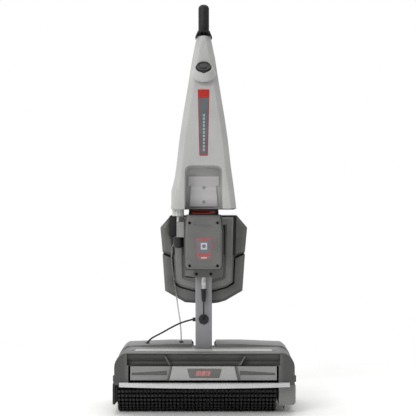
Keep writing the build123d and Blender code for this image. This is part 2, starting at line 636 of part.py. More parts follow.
filler_tilt = 45.0
filler_at = Location((0, -62.5, 931), (filler_tilt, 0, 0))   # local Z points forwards and up
filler_radius, boss_height, boss_root = 25.5, 7.5, 13.0
rim_inner, rim_height = 21.2, 5.0
neck_radius = 17.0
boss_length = boss_height + rim_height + boss_root
boss = Pos(0, 0, (boss_height + rim_height - boss_root) / 2) * Cylinder(filler_radius, boss_length)
boss -= Pos(0, 0, boss_height + rim_height / 2) * Cylinder(rim_inner, rim_height)
boss -= Pos(0, -filler_radius, boss_height + rim_height / 2) * Box(11, 14, rim_height)
tank = tank_form(0) + filler_at * boss
tank -= filler_at * Pos(0, 0, boss_height + rim_inner / 2) * Cylinder(rim_inner, rim_inner)
tank -= block(-60, 60, tank_back, 40, 900, 1000)
tank -= recess_form(0)
tank -= tank_form(tank_wall) - recess_form(tank_wall)
tank -= filler_at * Pos(0, 0, -5) * Cylinder(neck_radius, 2 * boss_root + 14)
outlet_x, outlet_y = -70.0, -62.0
outlet_bottom = tank_bottom - 19.0
outlet_spigot, outlet_nozzle = 8.0, 3.85
pump_shelf = 516.5           # the pump's top, where the nozzle ends
tank -= rod_z(tank_bottom, tank_bottom + tank_wall, outlet_x, outlet_y, outlet_spigot)
screw_radius = 2.0
plate_y = recess_back - 4.0
plate_screws = [(0, 611), (0, 572)]
for x, z in plate_screws:
    tank -= rod_y(recess_back, recess_back + tank_wall, x, z, screw_radius)
save(tank, "solution_tank")

# Filler cap: disc with a plug in the neck, a finger tab, and a seal under the disc
cap_radius, cap_height, seal_height = 20.0, 9.0, 2.0
face_height = boss_height
cap = filler_at * Pos(0, 0, face_height + seal_height + cap_height / 2) * Cylinder(cap_radius, cap_height)
cap = fillet(cap.edges().filter_by(GeomType.CIRCLE).sort_by(Axis.Z)[-1], 3)
cap += filler_at * Pos(0, 0, face_height + seal_height - 5) * Cylinder(neck_radius - running_fit, 14)
cap += filler_at * Pos(0, -cap_radius - 1.5, face_height + seal_height + 2) * Box(9, 7, 4)
seal = filler_at * Pos(0, 0, face_height + seal_height / 2) * Cylinder(cap_radius - 1, seal_height)
seal -= filler_at * Pos(0, 0, face_height + seal_height / 2) * Cylinder(neck_radius - running_fit, seal_height)
save(Compound(children=[cap, seal]), "filler_cap")

# Tank outlet: screw cap under the left lobe, with a nozzle down into the pump
outlet = cone_z(outlet_bottom, tank_bottom, outlet_x, outlet_y, 15.5, 16.8)
outlet += rod_z(tank_bottom, tank_bottom + tank_wall, outlet_x, outlet_y, outlet_spigot)
outlet += rod_z(pump_shelf, outlet_bottom, outlet_x, outlet_y, outlet_nozzle)
save(outlet, "tank_outlet")

# Mounting plates in the recess
upper_half, upper_low, upper_high = 42.0, 616.0, 642.0
lower_wide, lower_narrow, lower_low = 39.0, 34.5, 559.0
plate_split = upper_low - 0.5
upper_plate = block(-upper_half, upper_half, plate_y, recess_back, upper_low, upper_high)
lower_plate = front_profile([(-lower_wide, lower_low), (lower_wide, lower_low), (lower_narrow, plate_split),
                             (-lower_narrow, plate_split)], plate_y, recess_back)
for x, z in plate_screws:
    upper_plate -= rod_y(plate_y, recess_back, x, z, screw_radius)
    lower_plate -= rod_y(plate_y, recess_back, x, z, screw_radius)
save(Compound(children=[upper_plate, lower_plate]), "mounting_plates")

# Control box: hollow housing behind a screwed front cover
box_half = box_width / 2
cover_thickness = 4.0
box_cover_back = box_front + cover_thickness


def box_outline(inset):
    half = box_half - inset
    return [(-half + 5, box_bottom + inset), (half - 5, box_bottom + inset), (half, box_bottom + 5 + inset),
            (half, 500), (half - 6, box_top - inset), (-half + 6, box_top - inset), (-half, 500),
            (-half, box_bottom + 5 + inset)]


box_screws = [(-38, 514.5), (38, 514.5), (-38, 397.5), (38, 397.5)]
control_box = front_profile(box_outline(0), box_cover_back, box_back)
control_box -= front_profile(box_outline(3), box_cover_back, box_back - 3)
box_cover = front_profile(box_outline(0), box_front, box_cover_back)
box_cover = fillet(box_cover.edges().group_by(Axis.Y)[0], 1.5)
box_cover -= block(-26, 26, box_front, box_front + 1.5, 508, 522)
for x, z in box_screws:
    pillar = rod_y(box_cover_back, box_back - 3, x, z, 5)
    control_box += pillar - rod_y(box_cover_back, box_cover_back + 12, x, z, screw_radius)
    box_cover -= rod_y(box_front, box_cover_back, x, z, screw_radius)
    box_cover -= rod_y(box_front, box_front + 2.2, x, z, 4.2)
save(control_box, "control_box")
save(box_cover, "control_box_cover")
board_y, board_half, board_thickness = -58.0, 44.0, 1.6
board_low, board_high = box_bottom + 23.0, box_top - 33.0
board = block(-board_half, board_half, board_y, board_y + board_thickness, board_low, board_high)
board += block(-30, -8, board_y - 9, board_y, 440, 470) + block(6, 30, board_y - 6, board_y, 425, 445)
save(board, "circuit_board")

# Keypad on the box's top: a dark domed housing with a sloping red panel and four sprung keys
dome_top = 550.0
dome_back, slope_back = -30.0, box_front + 34
slope = degrees(atan2(dome_top - box_top - 1, slope_back - box_front))
dome = side_profile([(box_front, box_top), (dome_back, box_top), (dome_back, dome_top), (slope_back, dome_top),
                     (box_front, box_top + 1)], -box_half, box_half)
dome &= front_profile([(-47, box_top), (47, box_top), (40, dome_top), (-40, dome_top)], box_front, dome_back)
panel_at = Location((0, (box_front + slope_back) / 2, (box_top + 1 + dome_top) / 2), (slope, 0, 0))
panel_thickness, panel_width, panel_depth = 1.5, 66.0, 26.0
panel = panel_at * Pos(0, 0, -panel_thickness / 2) * Box(panel_width, panel_depth, panel_thickness)
key_size, key_travel = 9.0, 0.5
key_names = ["power_key", "pump_key", "speed_key", "reset_key"]
first_key, key_pitch = -25.0, 13.0
for n, name in enumerate(key_names):
    key_x = first_key + key_pitch * n
    pocket = panel_at * Pos(key_x, 0, -2) * Box(key_size + 2 * gap, key_size + 2 * gap, 4)
    panel -= pocket
    dome -= pocket
    key = panel_at * Pos(key_x, 0, -1) * Box(key_size, key_size, 3.2)
    save(key, name)
dome -= panel_at * Pos(0, 0, -panel_thickness / 2) * Box(panel_width, panel_depth, panel_thickness)
save(Compound(children=[dome, panel]), "keypad_housing")

# Clamp bracket under the box, connector, strain relief and the cable to the post's grommet
bracket_low, bracket_front = 363.0, -36.0
bracket_half = 28.0
clamp = block(-bracket_half, bracket_half, bracket_front, -half_depth, bracket_low, box_bottom)
bracket_screws = [(-20, 372), (20, 372)]
for x, z in bracket_screws:
    clamp -= rod_y(bracket_front, bracket_front + 12, x, z, screw_radius)
save(clamp, "clamp_bracket")
cord_y = -half_depth - 11
connector_low, relief_low = 331.0, 295.0
connector = rod_z(connector_low, bracket_low, 0, cord_y, 6.2)
strain_relief = cone_z(relief_low, connector_low, 0, cord_y, 5.4, 8.6)
save(Compound(children=[connector, strain_relief]), "control_connector")
screws = [face_screw(x, plate_y, z, 4.5, screw_radius, 4 + tank_wall) for x, z in plate_screws]
screws += [face_screw(x, box_front + 2.2, z, 4.0, screw_radius, 12) for x, z in box_screws]
screws += [face_screw(x, bracket_front, z, 4.0, screw_radius, 12) for x, z in bracket_screws]
save(Compound(children=screws), "column_screws")

# Pump: block beside the box with a round black head under it, and a hose stub at its back
pump_right = -box_half
pump_width = 20.0
pump_front, pump_step, pump_back = -72.0, -44.0, 12.0
pump_bottom, pump_top = 475.0, 532.0
pump_block = block(pump_right - pump_width, pump_right, pump_front, pump_back, pump_bottom, pump_shelf)
pump_block += block(pump_right - pump_width, pump_right, pump_step, pump_back, pump_shelf, pump_top)
save(pump_block, "pump_block")
head_x, head_y, head_radius, head_bottom = pump_right - 14.6, -45.0, 14.5, 445.0
pump_head = rod_z(head_bottom, pump_bottom, head_x, head_y, head_radius)
pump_head = fillet(pump_head.edges().filter_by(GeomType.CIRCLE).group_by(Axis.Z)[0], 8)
stub_x, stub_z, stub_end = pump_right - 21.0, 462.0, -24.0
pump_head += rod_y(-38, stub_end, stub_x, stub_z, 3.2)
save(pump_head, "pump_head")

# Battery pack: hollow casing with a narrow foot that drops into the U-shaped dock
pack_back = pack_front + pack_depth
foot_outline = [(25, 320.5), (67, 331.5), (80, 340), (85, 350), (88, 413.5)]


def pack_form(inset):
    right = [(x - inset, z + inset * 0.9) for x, z in foot_outline] + [(117 - inset, 425.5 + inset)]
    right += [(123 - inset, 500 - inset * 0.4), (93 - inset * 0.6, pack_top - inset)]
    outline = right + [(-x, z) for x, z in reversed(right)]
    return front_profile(outline, pack_front + inset, pack_back - inset)


battery_pack = pack_form(0) - pack_form(3)
save(battery_pack, "battery_pack")
cell_inset, cell_low, cell_high, cell_out, cell_in = 5.0, 352.0, 505.0, 78.0, 1.0
cells = [block(x0, x1, pack_front + cell_inset, pack_back - cell_inset, cell_low, cell_high)
         for x0, x1 in ((-cell_out, -cell_in), (cell_in, cell_out))]
save(Compound(children=cells), "battery_cells")
dock_front, dock_back = pack_front - 4, pack_back + 5
back_half, back_low, back_high = 90.0, 335.0, 413.0
dock_right = [(10, dock_bottom), (40, 287), (61, 293), (67, 302), (109.5, 321), (116.5, dock_top + 0.5),
              (88.6, back_high)]
dock_inner = [(85.6, 349.6), (80.6, 339.4), (67.3, 330.9), (25, 319.9)]
right = dock_right + dock_inner
dock = front_profile(right + [(-x, z) for x, z in reversed(right)], dock_front, dock_back)
dock += block(-back_half, back_half, pack_back + gap, dock_back, back_low, back_high)
foot_half, foot_low, foot_high = 20.0, 288.0, 316.0
dock += block(-foot_half, foot_half, half_depth, dock_front, foot_low, foot_high)
save(dock, "battery_dock")

# Cords: hose from the pump to the rear cover, motor cable from the post to the rear cover, control cable
hose_route = [(stub_x, stub_end, stub_z), (-80, -6, 461), (-87, 8, 449), (-91, 14, 426), (-90, 15, 398),
              (-86, 15, 370), (-83, 15.5, 343), (-77, 16, 315), (-74.5, 18, 289), (-71, 21, 264), (-67, 26, 240),
              (-65.5, 33, 216), (-64, 40, 195), (hose_x, hose_y, grommet_high)]
save(arc_tube(hose_route, hose_radius, "solution_hose"), "solution_hose")
cable_route = [(-post_width / 2 - gland_out, 0, gland_z), (-58, 4, 236), (-88, 12, 221), (-117, 22, 203.5),
               (-138, 31, 192), (-151, 39.5, 184), (cable_x, cable_y, grommet_high - 4)]
save(arc_tube(cable_route, cable_radius, "motor_cable"), "motor_cable")
control_route = [(0, cord_y, relief_low), (0, cord_y - 1.5, 279), (0, cord_y - 3, 264), (0, cord_y - 1.5, 252),
                 (0, -half_depth - 4, plug_z - 1)]
save(arc_tube(control_route, control_radius, "control_cable"), "control_cable")
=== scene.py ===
import math

import bpy
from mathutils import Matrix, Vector


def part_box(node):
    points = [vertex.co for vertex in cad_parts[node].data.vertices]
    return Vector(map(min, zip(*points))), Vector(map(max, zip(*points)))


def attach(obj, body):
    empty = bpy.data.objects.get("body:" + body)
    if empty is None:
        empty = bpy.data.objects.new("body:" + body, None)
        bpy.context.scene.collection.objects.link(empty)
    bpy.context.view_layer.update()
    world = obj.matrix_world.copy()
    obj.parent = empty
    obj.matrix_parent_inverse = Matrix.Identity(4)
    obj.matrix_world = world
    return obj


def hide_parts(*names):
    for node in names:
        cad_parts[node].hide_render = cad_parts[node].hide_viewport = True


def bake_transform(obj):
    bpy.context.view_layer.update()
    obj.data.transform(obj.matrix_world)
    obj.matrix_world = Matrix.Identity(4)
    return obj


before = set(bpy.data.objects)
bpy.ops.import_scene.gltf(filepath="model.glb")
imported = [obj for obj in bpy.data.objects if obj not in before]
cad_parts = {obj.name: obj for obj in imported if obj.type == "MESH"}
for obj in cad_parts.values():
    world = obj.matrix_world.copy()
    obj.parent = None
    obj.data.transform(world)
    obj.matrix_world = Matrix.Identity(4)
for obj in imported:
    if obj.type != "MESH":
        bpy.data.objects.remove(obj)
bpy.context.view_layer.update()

# ---- Studio
# A pale paper sweep under the machine, a broad soft key light from the upper left and a weak fill
# from the right. The camera stands level in front, about half as high as the machine.
camera_data = bpy.data.cameras.new("camera")
camera_data.lens = 94.24
camera = bpy.data.objects.new("camera", camera_data)
bpy.context.collection.objects.link(camera)
camera.location = (0.012, -3.05, 0.555)
camera.rotation_euler = (math.radians(90), 0, 0)
bpy.context.scene.camera = camera
bpy.context.scene.view_settings.view_transform = "Standard"


def linear(hex_colour):
    """An sRGB hex colour as linear light with full alpha."""
    shares = [int(hex_colour[i:i + 2], 16) / 255 for i in (1, 3, 5)]
    return [s / 12.92 if s <= 0.04045 else ((s + 0.055) / 1.055) ** 2.4 for s in shares] + [1.0]


def add_node(material, kind, settings=None, **links):
    """Adds a node. settings go on its properties or sockets; links join its inputs to other nodes."""
    node = material.node_tree.nodes.new(kind)
    for key, value in (settings or {}).items():
        if isinstance(key, int) or key in node.inputs:
            node.inputs[key].default_value = value
        else:
            setattr(node, key, value)
    for key, (other, output) in links.items():
        socket = node.inputs[int(key[1:])] if key[0] == "i" and key[1:].isdigit() else node.inputs[key]
        material.node_tree.links.new(other.outputs[output], socket)
    return node


def new_material(name, roughness, metallic=0.0, ior=1.5, **constant):
    """An empty node material with its shader, and the shader's fixed values set on its own sockets."""
    material = bpy.data.materials.new(name)
    material.use_nodes = True
    material.node_tree.nodes.clear()
    shader = add_node(material, "ShaderNodeBsdfPrincipled", {"Roughness": roughness, "Metallic": metallic})
    if metallic == 0.0:
        shader.inputs["IOR"].default_value = ior
    for key, value in constant.items():
        shader.inputs[key.replace("_", " ")].default_value = value
    add_node(material, "ShaderNodeOutputMaterial", Surface=(shader, "BSDF"))
    return material, shader


def join(material, shader, **links):
    """Links other nodes' outputs to the shader's inputs."""
    for key, (other, output) in links.items():
        material.node_tree.links.new(other.outputs[output], shader.inputs[key.replace("_", " ")])


def surface(name, light, dark, patch_mm, roughness, grain_mm=1.6, height_mm=0.05, stretch=(1, 1, 1),
            metallic=0.0, **constant):
    """A finish of two close colours in patches, with a fine raised grain and uneven gloss. Sizes are in mm.
    Gives the material, its shader, its place node and its colour node."""
    material, shader = new_material(name, roughness, metallic, **constant)
    where = add_node(material, "ShaderNodeTexCoord")
    turn = add_node(material, "ShaderNodeMapping", {"Scale": stretch}, Vector=(where, "Object"))
    noise = add_node(material, "ShaderNodeTexNoise", {"Scale": 1000 / patch_mm, "Detail": 3.0},
                     Vector=(turn, "Vector"))
    ramp = add_node(material, "ShaderNodeValToRGB", {}, Fac=(noise, "Fac"))
    ramp.color_ramp.elements[0].position = 0.35
    ramp.color_ramp.elements[1].position = 0.65
    ramp.color_ramp.elements[0].color = linear(dark)
    ramp.color_ramp.elements[1].color = linear(light)
    gloss = add_node(material, "ShaderNodeMapRange", {"To Min": roughness - 0.05, "To Max": roughness + 0.08},
                     Value=(noise, "Fac"))
    grain = add_node(material, "ShaderNodeTexNoise", {"Scale": 1000 / grain_mm, "Detail": 2.0},
                     Vector=(turn, "Vector"))
    bump = add_node(material, "ShaderNodeBump", {"Strength": 0.5, "Distance": height_mm / 1000},
                    Height=(grain, "Fac"))
    join(material, shader, Base_Color=(ramp, "Color"), Roughness=(gloss, "Result"), Normal=(bump, "Normal"))
    return material, shader, turn, ramp


# The sky is white ahead of the camera and dimmer behind it.
world = bpy.data.worlds.new("studio")
bpy.context.scene.world = world
world.use_nodes = True
sky = world.node_tree.nodes["Background"]
way_seen = add_node(world, "ShaderNodeTexCoord")
far_side = add_node(world, "ShaderNodeVectorMath", {"operation": "DOT_PRODUCT", 1: (-0.45, 0.9, 0.0)},
                    i0=(way_seen, "Generated"))
ahead = add_node(world, "ShaderNodeMapRange",
                 {"From Min": -0.6, "From Max": 0.6, "To Min": 0.38, "To Max": 1.0},
                 Value=(far_side, "Value"))
sky.inputs["Color"].default_value = linear("#FFFFFF")
world.node_tree.links.new(ahead.outputs["Result"], sky.inputs["Strength"])


def softbox(name, place, aim, width, height, power):
    """A rectangular area light that points at a place. Sizes are in metres and power in watts."""
    data = bpy.data.lights.new(name, "AREA")
    data.shape = "RECTANGLE"
    data.size = width
    data.size_y = height
    data.energy = power
    lamp = bpy.data.objects.new(name, data)
    bpy.context.collection.objects.link(lamp)
    lamp.location = place
    lamp.rotation_euler = (Vector(aim) - Vector(place)).to_track_quat("-Z", "Y").to_euler()


softbox("key_light", (-1.9, -2.9, 2.4), (0, 0, 0.5), 1.6, 1.6, 55)
softbox("fill_light", (2.6, -2.2, 1.2), (0, 0, 0.5), 1.4, 1.8, 3)
softbox("top_light", (0.0, 0.8, 3.4), (0, 0.4, 0), 3.0, 3.0, 45)
bpy.ops.object.select_all(action="DESELECT")
bpy.ops.mesh.primitive_plane_add(size=3.4, location=(0, -0.9, 0))
floor = bpy.context.object
floor.name = "floor"
# Matt white paper: faint broad unevenness and a fine tooth, with no gloss.
paper = surface("matt_white_paper", "#FCFCFB", "#F8F8F7", 300, 0.85)[0]
floor.data.materials.append(paper)

# ---- Clear hose and cables
# The hose is clear PVC of 4 mm from the pump head down to the rear cover. The motor cable and the
# control cable are rubber-covered. Each ends in a fitting, a gland or a grommet.
hose_route = [(-0.075, -0.024, 0.462), (-0.080, -0.006, 0.461), (-0.087, 0.008, 0.449),
              (-0.091, 0.014, 0.426), (-0.090, 0.015, 0.398), (-0.086, 0.015, 0.370),
              (-0.083, 0.0155, 0.343), (-0.077, 0.016, 0.315), (-0.0745, 0.018, 0.289),
              (-0.071, 0.021, 0.264), (-0.067, 0.026, 0.240), (-0.0655, 0.033, 0.216),
              (-0.064, 0.040, 0.195), (-0.064, 0.044, 0.177)]
motor_cable_route = [(-0.031, 0, 0.243), (-0.058, 0.004, 0.236), (-0.088, 0.012, 0.221),
                     (-0.117, 0.022, 0.2035), (-0.138, 0.031, 0.192), (-0.151, 0.0395, 0.184),
                     (-0.160, 0.044, 0.173)]
control_cable_route = [(0, -0.026, 0.295), (0, -0.0275, 0.279), (0, -0.029, 0.264), (0, -0.0275, 0.252),
                       (0, -0.019, 0.244)]


def cord_curve(name, route, radius):
    """A smooth round cord along a route, and the points of its centre line."""
    data = bpy.data.curves.new(name, "CURVE")
    data.dimensions = "3D"
    data.resolution_u = 12
    spline = data.splines.new("NURBS")
    spline.points.add(len(route) - 1)
    for point, at in zip(spline.points, route):
        point.co = (*at, 1)
    spline.order_u = 3
    spline.use_endpoint_u = True
    piece = bpy.data.objects.new(name, data)
    bpy.context.collection.objects.link(piece)
    line = bpy.data.meshes.new_from_object(piece)
    path = [v.co.copy() for v in line.vertices]
    bpy.data.meshes.remove(line)
    data.bevel_depth = radius
    data.bevel_resolution = 3
    data.use_fill_caps = True
    return piece, path


def choose(piece):
    """Makes a piece the only one selected, and active."""
    bpy.ops.object.select_all(action="DESELECT")
    piece.select_set(True)
    bpy.context.view_layer.objects.active = piece


def as_mesh(piece):
    """Turns a curve into a smooth mesh."""
    choose(piece)
    bpy.ops.object.convert(target="MESH")
    bpy.ops.object.shade_smooth()


# Clear PVC: pale, glossy and half see-through, slightly cloudy. Cable rubber: matt near-black.
clear_pvc = surface("clear_pvc", "#C9CCCB", "#BBBEBE", 12, 0.15, 0.8, 0.01, ior=1.53,
                    Transmission_Weight=0.8)[0]
hose_radius, motor_cable_radius, control_cable_radius = 0.0020, 0.0024, 0.0022
cable_rubber = surface("cable_rubber", "#1D1D1D", "#141414", 8, 0.55, 0.8, 0.02)[0]
blended_cords = (("solution_hose_piece", hose_route, hose_radius, clear_pvc),
                 ("motor_cable_piece", motor_cable_route, motor_cable_radius, cable_rubber))
for name, route, radius, material in blended_cords:
    piece, path = cord_curve(name, route, radius)
    as_mesh(piece)
    piece.data.materials.append(material)
    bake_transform(piece)
    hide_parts(name.replace("_piece", ""))
piece, path = cord_curve("control_cable_piece", control_cable_route, control_cable_radius)
piece.data.materials.append(cable_rubber)
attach(piece, "column")
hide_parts("control_cable")

# ---- Solution tank
# Rotationally moulded polyethylene, light grey with a faint orange-peel skin. It narrows
# upwards, has a boss for the filler cap, and is hooked over two plates in the recess at its foot.


def new_box(name, low, high):
    """A box between two corners, in metres, alone selected and active."""
    bpy.ops.object.select_all(action="DESELECT")
    bpy.ops.mesh.primitive_cube_add(size=1, location=[(a + b) / 2 for a, b in zip(low, high)])
    piece = bpy.context.object
    piece.name = name
    piece.scale = [b - a for a, b in zip(low, high)]
    bpy.ops.object.transform_apply(location=True, rotation=True, scale=True)
    return piece


def new_rod(name, start, end, radius, sides=48):
    """A round bar between two points."""
    start, end = Vector(start), Vector(end)
    bpy.ops.object.select_all(action="DESELECT")
    turn = (end - start).to_track_quat("Z", "Y").to_euler()
    bpy.ops.mesh.primitive_cylinder_add(vertices=sides, radius=radius, depth=(end - start).length,
                                        location=(start + end) / 2, rotation=turn)
    piece = bpy.context.object
    piece.name = name
    bpy.ops.object.transform_apply(location=True, rotation=True, scale=True)
    return piece


def pick(piece, kind, test):
    """Opens edit mode with only the vertices, edges or faces that pass the test selected.
    The test gets the part's place, and its normal or an edge's direction."""
    choose(piece)
    bpy.ops.object.mode_set(mode="EDIT")
    bpy.ops.mesh.select_mode(type=kind)
    bpy.ops.mesh.select_all(action="DESELECT")
    bpy.ops.object.mode_set(mode="OBJECT")
    mesh = piece.data
    if kind == "VERT":
        for v in mesh.vertices:
            v.select = test(v.co, v.normal)
    elif kind == "EDGE":
        for e in mesh.edges:
            a, b = (mesh.vertices[i].co for i in e.vertices)
            e.select = test((a + b) / 2, (b - a).normalized())
    else:
        for f in mesh.polygons:
            f.select = test(f.center, f.normal)
    bpy.ops.object.mode_set(mode="EDIT")


def done():
    """Closes edit mode."""
    bpy.ops.object.mode_set(mode="OBJECT")


def shift(piece, kind, test, move):
    """Moves the picked parts of a piece."""
    pick(piece, kind, test)
    bpy.ops.transform.translate(value=move)
    done()


def trim(piece, at, away):
    """Cuts a piece along a plane, drops what lies beyond it and closes the cut."""
    pick(piece, "FACE", lambda middle, way: True)
    bpy.ops.mesh.bisect(plane_co=at, plane_no=away, use_fill=True, clear_outer=True)
    done()


def soften(piece, kind, test, width, segments=4):
    """Rounds the picked edges by an edit-mode bevel."""
    pick(piece, kind, test)
    bpy.ops.mesh.bevel(offset=width, segments=segments, profile=0.5, affect="EDGES", clamp_overlap=True)
    done()


def modify(piece, kind, **settings):
    """Adds a modifier and applies it."""
    choose(piece)
    modifier = piece.modifiers.new(kind.lower(), kind)
    for key, value in settings.items():
        setattr(modifier, key, value)
    bpy.ops.object.modifier_apply(modifier=modifier.name)


def cut(piece, tool, operation="DIFFERENCE"):
    """Takes a tool piece out of a piece, or keeps only what the two share, and removes the tool."""
    modify(piece, "BOOLEAN", object=tool, operation=operation, solver="EXACT")
    bpy.data.objects.remove(tool)


def ease_edges(piece, width, segments=3, angle=35):
    """Rounds every edge sharper than the angle, and shades the piece smooth between the sharp ones."""
    modify(piece, "BEVEL", width=width, segments=segments, limit_method="ANGLE",
           angle_limit=math.radians(angle), harden_normals=False, use_clamp_overlap=True)
    bpy.ops.object.shade_smooth_by_angle(angle=math.radians(40))


def place(piece, body, material, *replaced):
    """Gives a finished piece its material, its body and the CAD nodes that it stands for."""
    piece.data.materials.clear()
    piece.data.materials.append(material)
    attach(piece, body)
    if replaced:
        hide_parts(*replaced)


# Moulded polyethylene: light grey with an orange-peel skin of about 3 mm and a soft satin gloss.
polyethylene = surface("moulded_polyethylene", "#B8B8B7", "#B2B2B1", 60, 0.40, 3.0, 0.05)[0]
tank_back, tank_front, tank_foot, slope_foot = -0.0165, -0.104, 0.552, 0.612
slope = 0.061 / 0.423


def tank_face(height):
    """How far forward the tank's front is at a height."""
    return tank_front + max(0.0, height - slope_foot) * slope


# The tank's half width at each height, going up.
tank_levels = ((0.612, 0.0820), (0.667, 0.0745), (0.745, 0.0660), (0.801, 0.0580), (0.885, 0.0445),
               (0.969, 0.0315), (1.031, 0.0190))
half_before, height_before = 0.089, 0.556
tank = new_box("solution_tank_shell", (-half_before, tank_front, tank_foot),
               (half_before, tank_back, height_before))
for height, half in tank_levels:
    pick(tank, "FACE", lambda at, way: way.z > 0.9 and at.z > height_before - 0.001)
    bpy.ops.mesh.extrude_region_move(TRANSFORM_OT_translate={"value": (0, 0, height - height_before)})
    deeper = (tank_face(height) - tank_back) / (tank_face(height_before) - tank_back)
    bpy.ops.transform.resize(value=(half / half_before, deeper, 1), center_override=(0, tank_back, height))
    done()
    half_before, height_before = half, height
soften(tank, "EDGE", lambda at, way: abs(way.z) > 0.9 and at.y < -0.03, 0.015, 1)
recess = new_box("recess_cutter", (-0.047, -0.13, 0.53), (0.047, -0.046, 0.663))
soften(recess, "EDGE", lambda at, way: abs(way.y) > 0.9 and at.z > 0.6, 0.016, 6)
pick(recess, "FACE", lambda at, way: way.y < -0.9)
bpy.ops.transform.resize(value=(1.13, 1, 1.10), center_override=(0, -0.13, 0.53))
done()
cut(tank, recess)
ease_edges(tank, 0.0035, 3, 20)
cap_low, cap_high = (Vector(c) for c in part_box("filler_cap"))
filler_way = Vector((0, -0.7071, 0.7071))
filler = Vector((0, cap_low.y + 0.0272, cap_high.z - 0.0260))
bpy.ops.object.select_all(action="DESELECT")
bpy.ops.mesh.primitive_cone_add(vertices=64, radius1=0.0345, radius2=0.0255, depth=0.024,
                                location=filler + filler_way * 0.0005,
                                rotation=filler_way.to_track_quat("Z", "Y").to_euler())
boss = bpy.context.object
boss.name = "boss"
bpy.ops.object.transform_apply(location=True, rotation=True, scale=True)
pick(boss, "FACE", lambda at, way: way.dot(filler_way) > 0.99)
bpy.ops.mesh.inset(thickness=0.0040)
bpy.ops.mesh.extrude_region_move(TRANSFORM_OT_translate={"value": filler_way * -0.0050})
done()
ease_edges(boss, 0.0012, 3)
column = new_rod("column", (-0.0715, -0.086, 0.5525), (-0.0715, -0.086, 0.600), 0.0165)
pick(column, "FACE", lambda at, way: way.z > 0.9)
bpy.ops.mesh.extrude_region_move(TRANSFORM_OT_translate={"value": (0.003, 0.010, 0.045)})
bpy.ops.transform.resize(value=(0.55, 0.55, 1))
done()
ease_edges(column, 0.003, 3)


def unite(piece, *others):
    """Joins loose parts that belong to one moulding into one object."""
    bpy.ops.object.select_all(action="DESELECT")
    for other in (piece, *others):
        other.select_set(True)
    bpy.context.view_layer.objects.active = piece
    bpy.ops.object.join()


unite(tank, boss, column)
place(tank, "column", polyethylene, "solution_tank")
# A thin black strip under the tank's front foot: painted shade along the tank's shadowed bottom edge.
strip = new_box("tank_foot_shade_strip", (-0.0530, -0.1045, 0.5506), (0.0840, -0.0540, 0.5530))
soften(strip, "EDGE", lambda at, way: abs(way.z) > 0.9 and at.y < -0.08, 0.012, 4)
ease_edges(strip, 0.0006, 2)
place(strip, "column", cable_rubber)

# ---- Tank label
# A printed vinyl sticker on the sloped face: a red end, a thin red border and a slate field with a
# column of plain pale bars standing in for its lettering.


def on_slope(name, low_z, high_z, low_half, high_half, lift, thick=0.0012, middle=0.0):
    """A thin tapered plate that lies on the tank's sloped face."""
    top_y = tank_face(high_z) - lift
    piece = new_box(name, (middle - high_half, top_y, low_z), (middle + high_half, top_y + thick, high_z))
    pick(piece, "FACE", lambda at, way: way.z < -0.9)
    bpy.ops.transform.resize(value=(low_half / high_half, 1, 1), center_override=(middle, top_y, low_z))
    bpy.ops.transform.translate(value=(0, tank_face(low_z) - tank_face(high_z), 0))
    done()
    return piece


# Printed vinyl: a smooth satin film, faintly uneven in colour, with fine printed lines on the red.
# The slate and pale fields are the same film in other inks.
red_vinyl, red_shader, red_place, red_ramp = surface("red_vinyl", "#C92414", "#BA1D0F", 30, 0.38, 1.2, 0.01)
lines = add_node(red_vinyl, "ShaderNodeTexWave",
                 {"wave_type": "BANDS", "bands_direction": "Z", "Scale": 62.8}, Vector=(red_place, "Vector"))
lined = add_node(red_vinyl, "ShaderNodeMix", {"data_type": "RGBA", 7: linear("#A0180C")},
                 i0=(lines, "Fac"), i6=(red_ramp, "Color"))
join(red_vinyl, red_shader, Base_Color=(lined, 2))
slate_vinyl = surface("slate_vinyl", "#62666B", "#5A5E64", 30, 0.38, 1.2, 0.01)[0]
pale_vinyl = surface("pale_vinyl", "#A9AEB2", "#9DA2A6", 10, 0.40, 1.0, 0.01)[0]
label = on_slope("tank_label_border", 0.697, 0.880, 0.0115, 0.0160, 0.0006)
soften(label, "EDGE", lambda at, way: abs(way.y) > 0.7, 0.002, 4)
place(label, "column", red_vinyl)
field = on_slope("tank_label_field", 0.700, 0.856, 0.0100, 0.0137, 0.0008)
soften(field, "EDGE", lambda at, way: abs(way.y) > 0.7 and at.z < 0.75, 0.0015, 4)
place(field, "column", slate_vinyl)
first_bar, bar_height, bar_pitch, bar_count = 0.710, 0.0065, 0.0095, 11
bars = []
for n in range(bar_count):
    bar_foot = first_bar + n * bar_pitch
    bars.append(on_slope("tank_label_bar", bar_foot, bar_foot + bar_height, 0.0026, 0.0028, 0.0010,
                         middle=0.0008))
unite(bars[0], *bars[1:])
soften(bars[0], "EDGE", lambda at, way: abs(way.y) > 0.7, 0.0008, 3)
place(bars[0], "column", pale_vinyl)

# ---- Filler cap
# A moulded rubber-like cap with a ribbed rim, a sunk ring and a pull tab, on a soft seal. It pulls
# straight out of the boss.

# Soft black plastic: matt, with a coarse grain that breaks the light up.
cap_rubber = surface("cap_rubber", "#2F2F2F", "#1E1E1E", 5, 0.6, 1.4, 0.15)[0]
cap_radius, cap_foot, cap_top, cap_rib_turn = 0.020, 0.0078, 0.0178, 5.625
cap = new_rod("filler_cap_piece", filler + filler_way * cap_foot, filler + filler_way * cap_top,
              cap_radius, 64)
pick(cap, "FACE", lambda at, way: way.dot(filler_way) > 0.99)
bpy.ops.mesh.inset(thickness=0.0035)
bpy.ops.mesh.extrude_region_move(TRANSFORM_OT_translate={"value": filler_way * -0.0018})
bpy.ops.mesh.inset(thickness=0.0060)
bpy.ops.mesh.extrude_region_move(TRANSFORM_OT_translate={"value": filler_way * 0.0018})
done()
rim_side = Vector((1, 0, 0))
rim_up = filler_way.cross(rim_side)


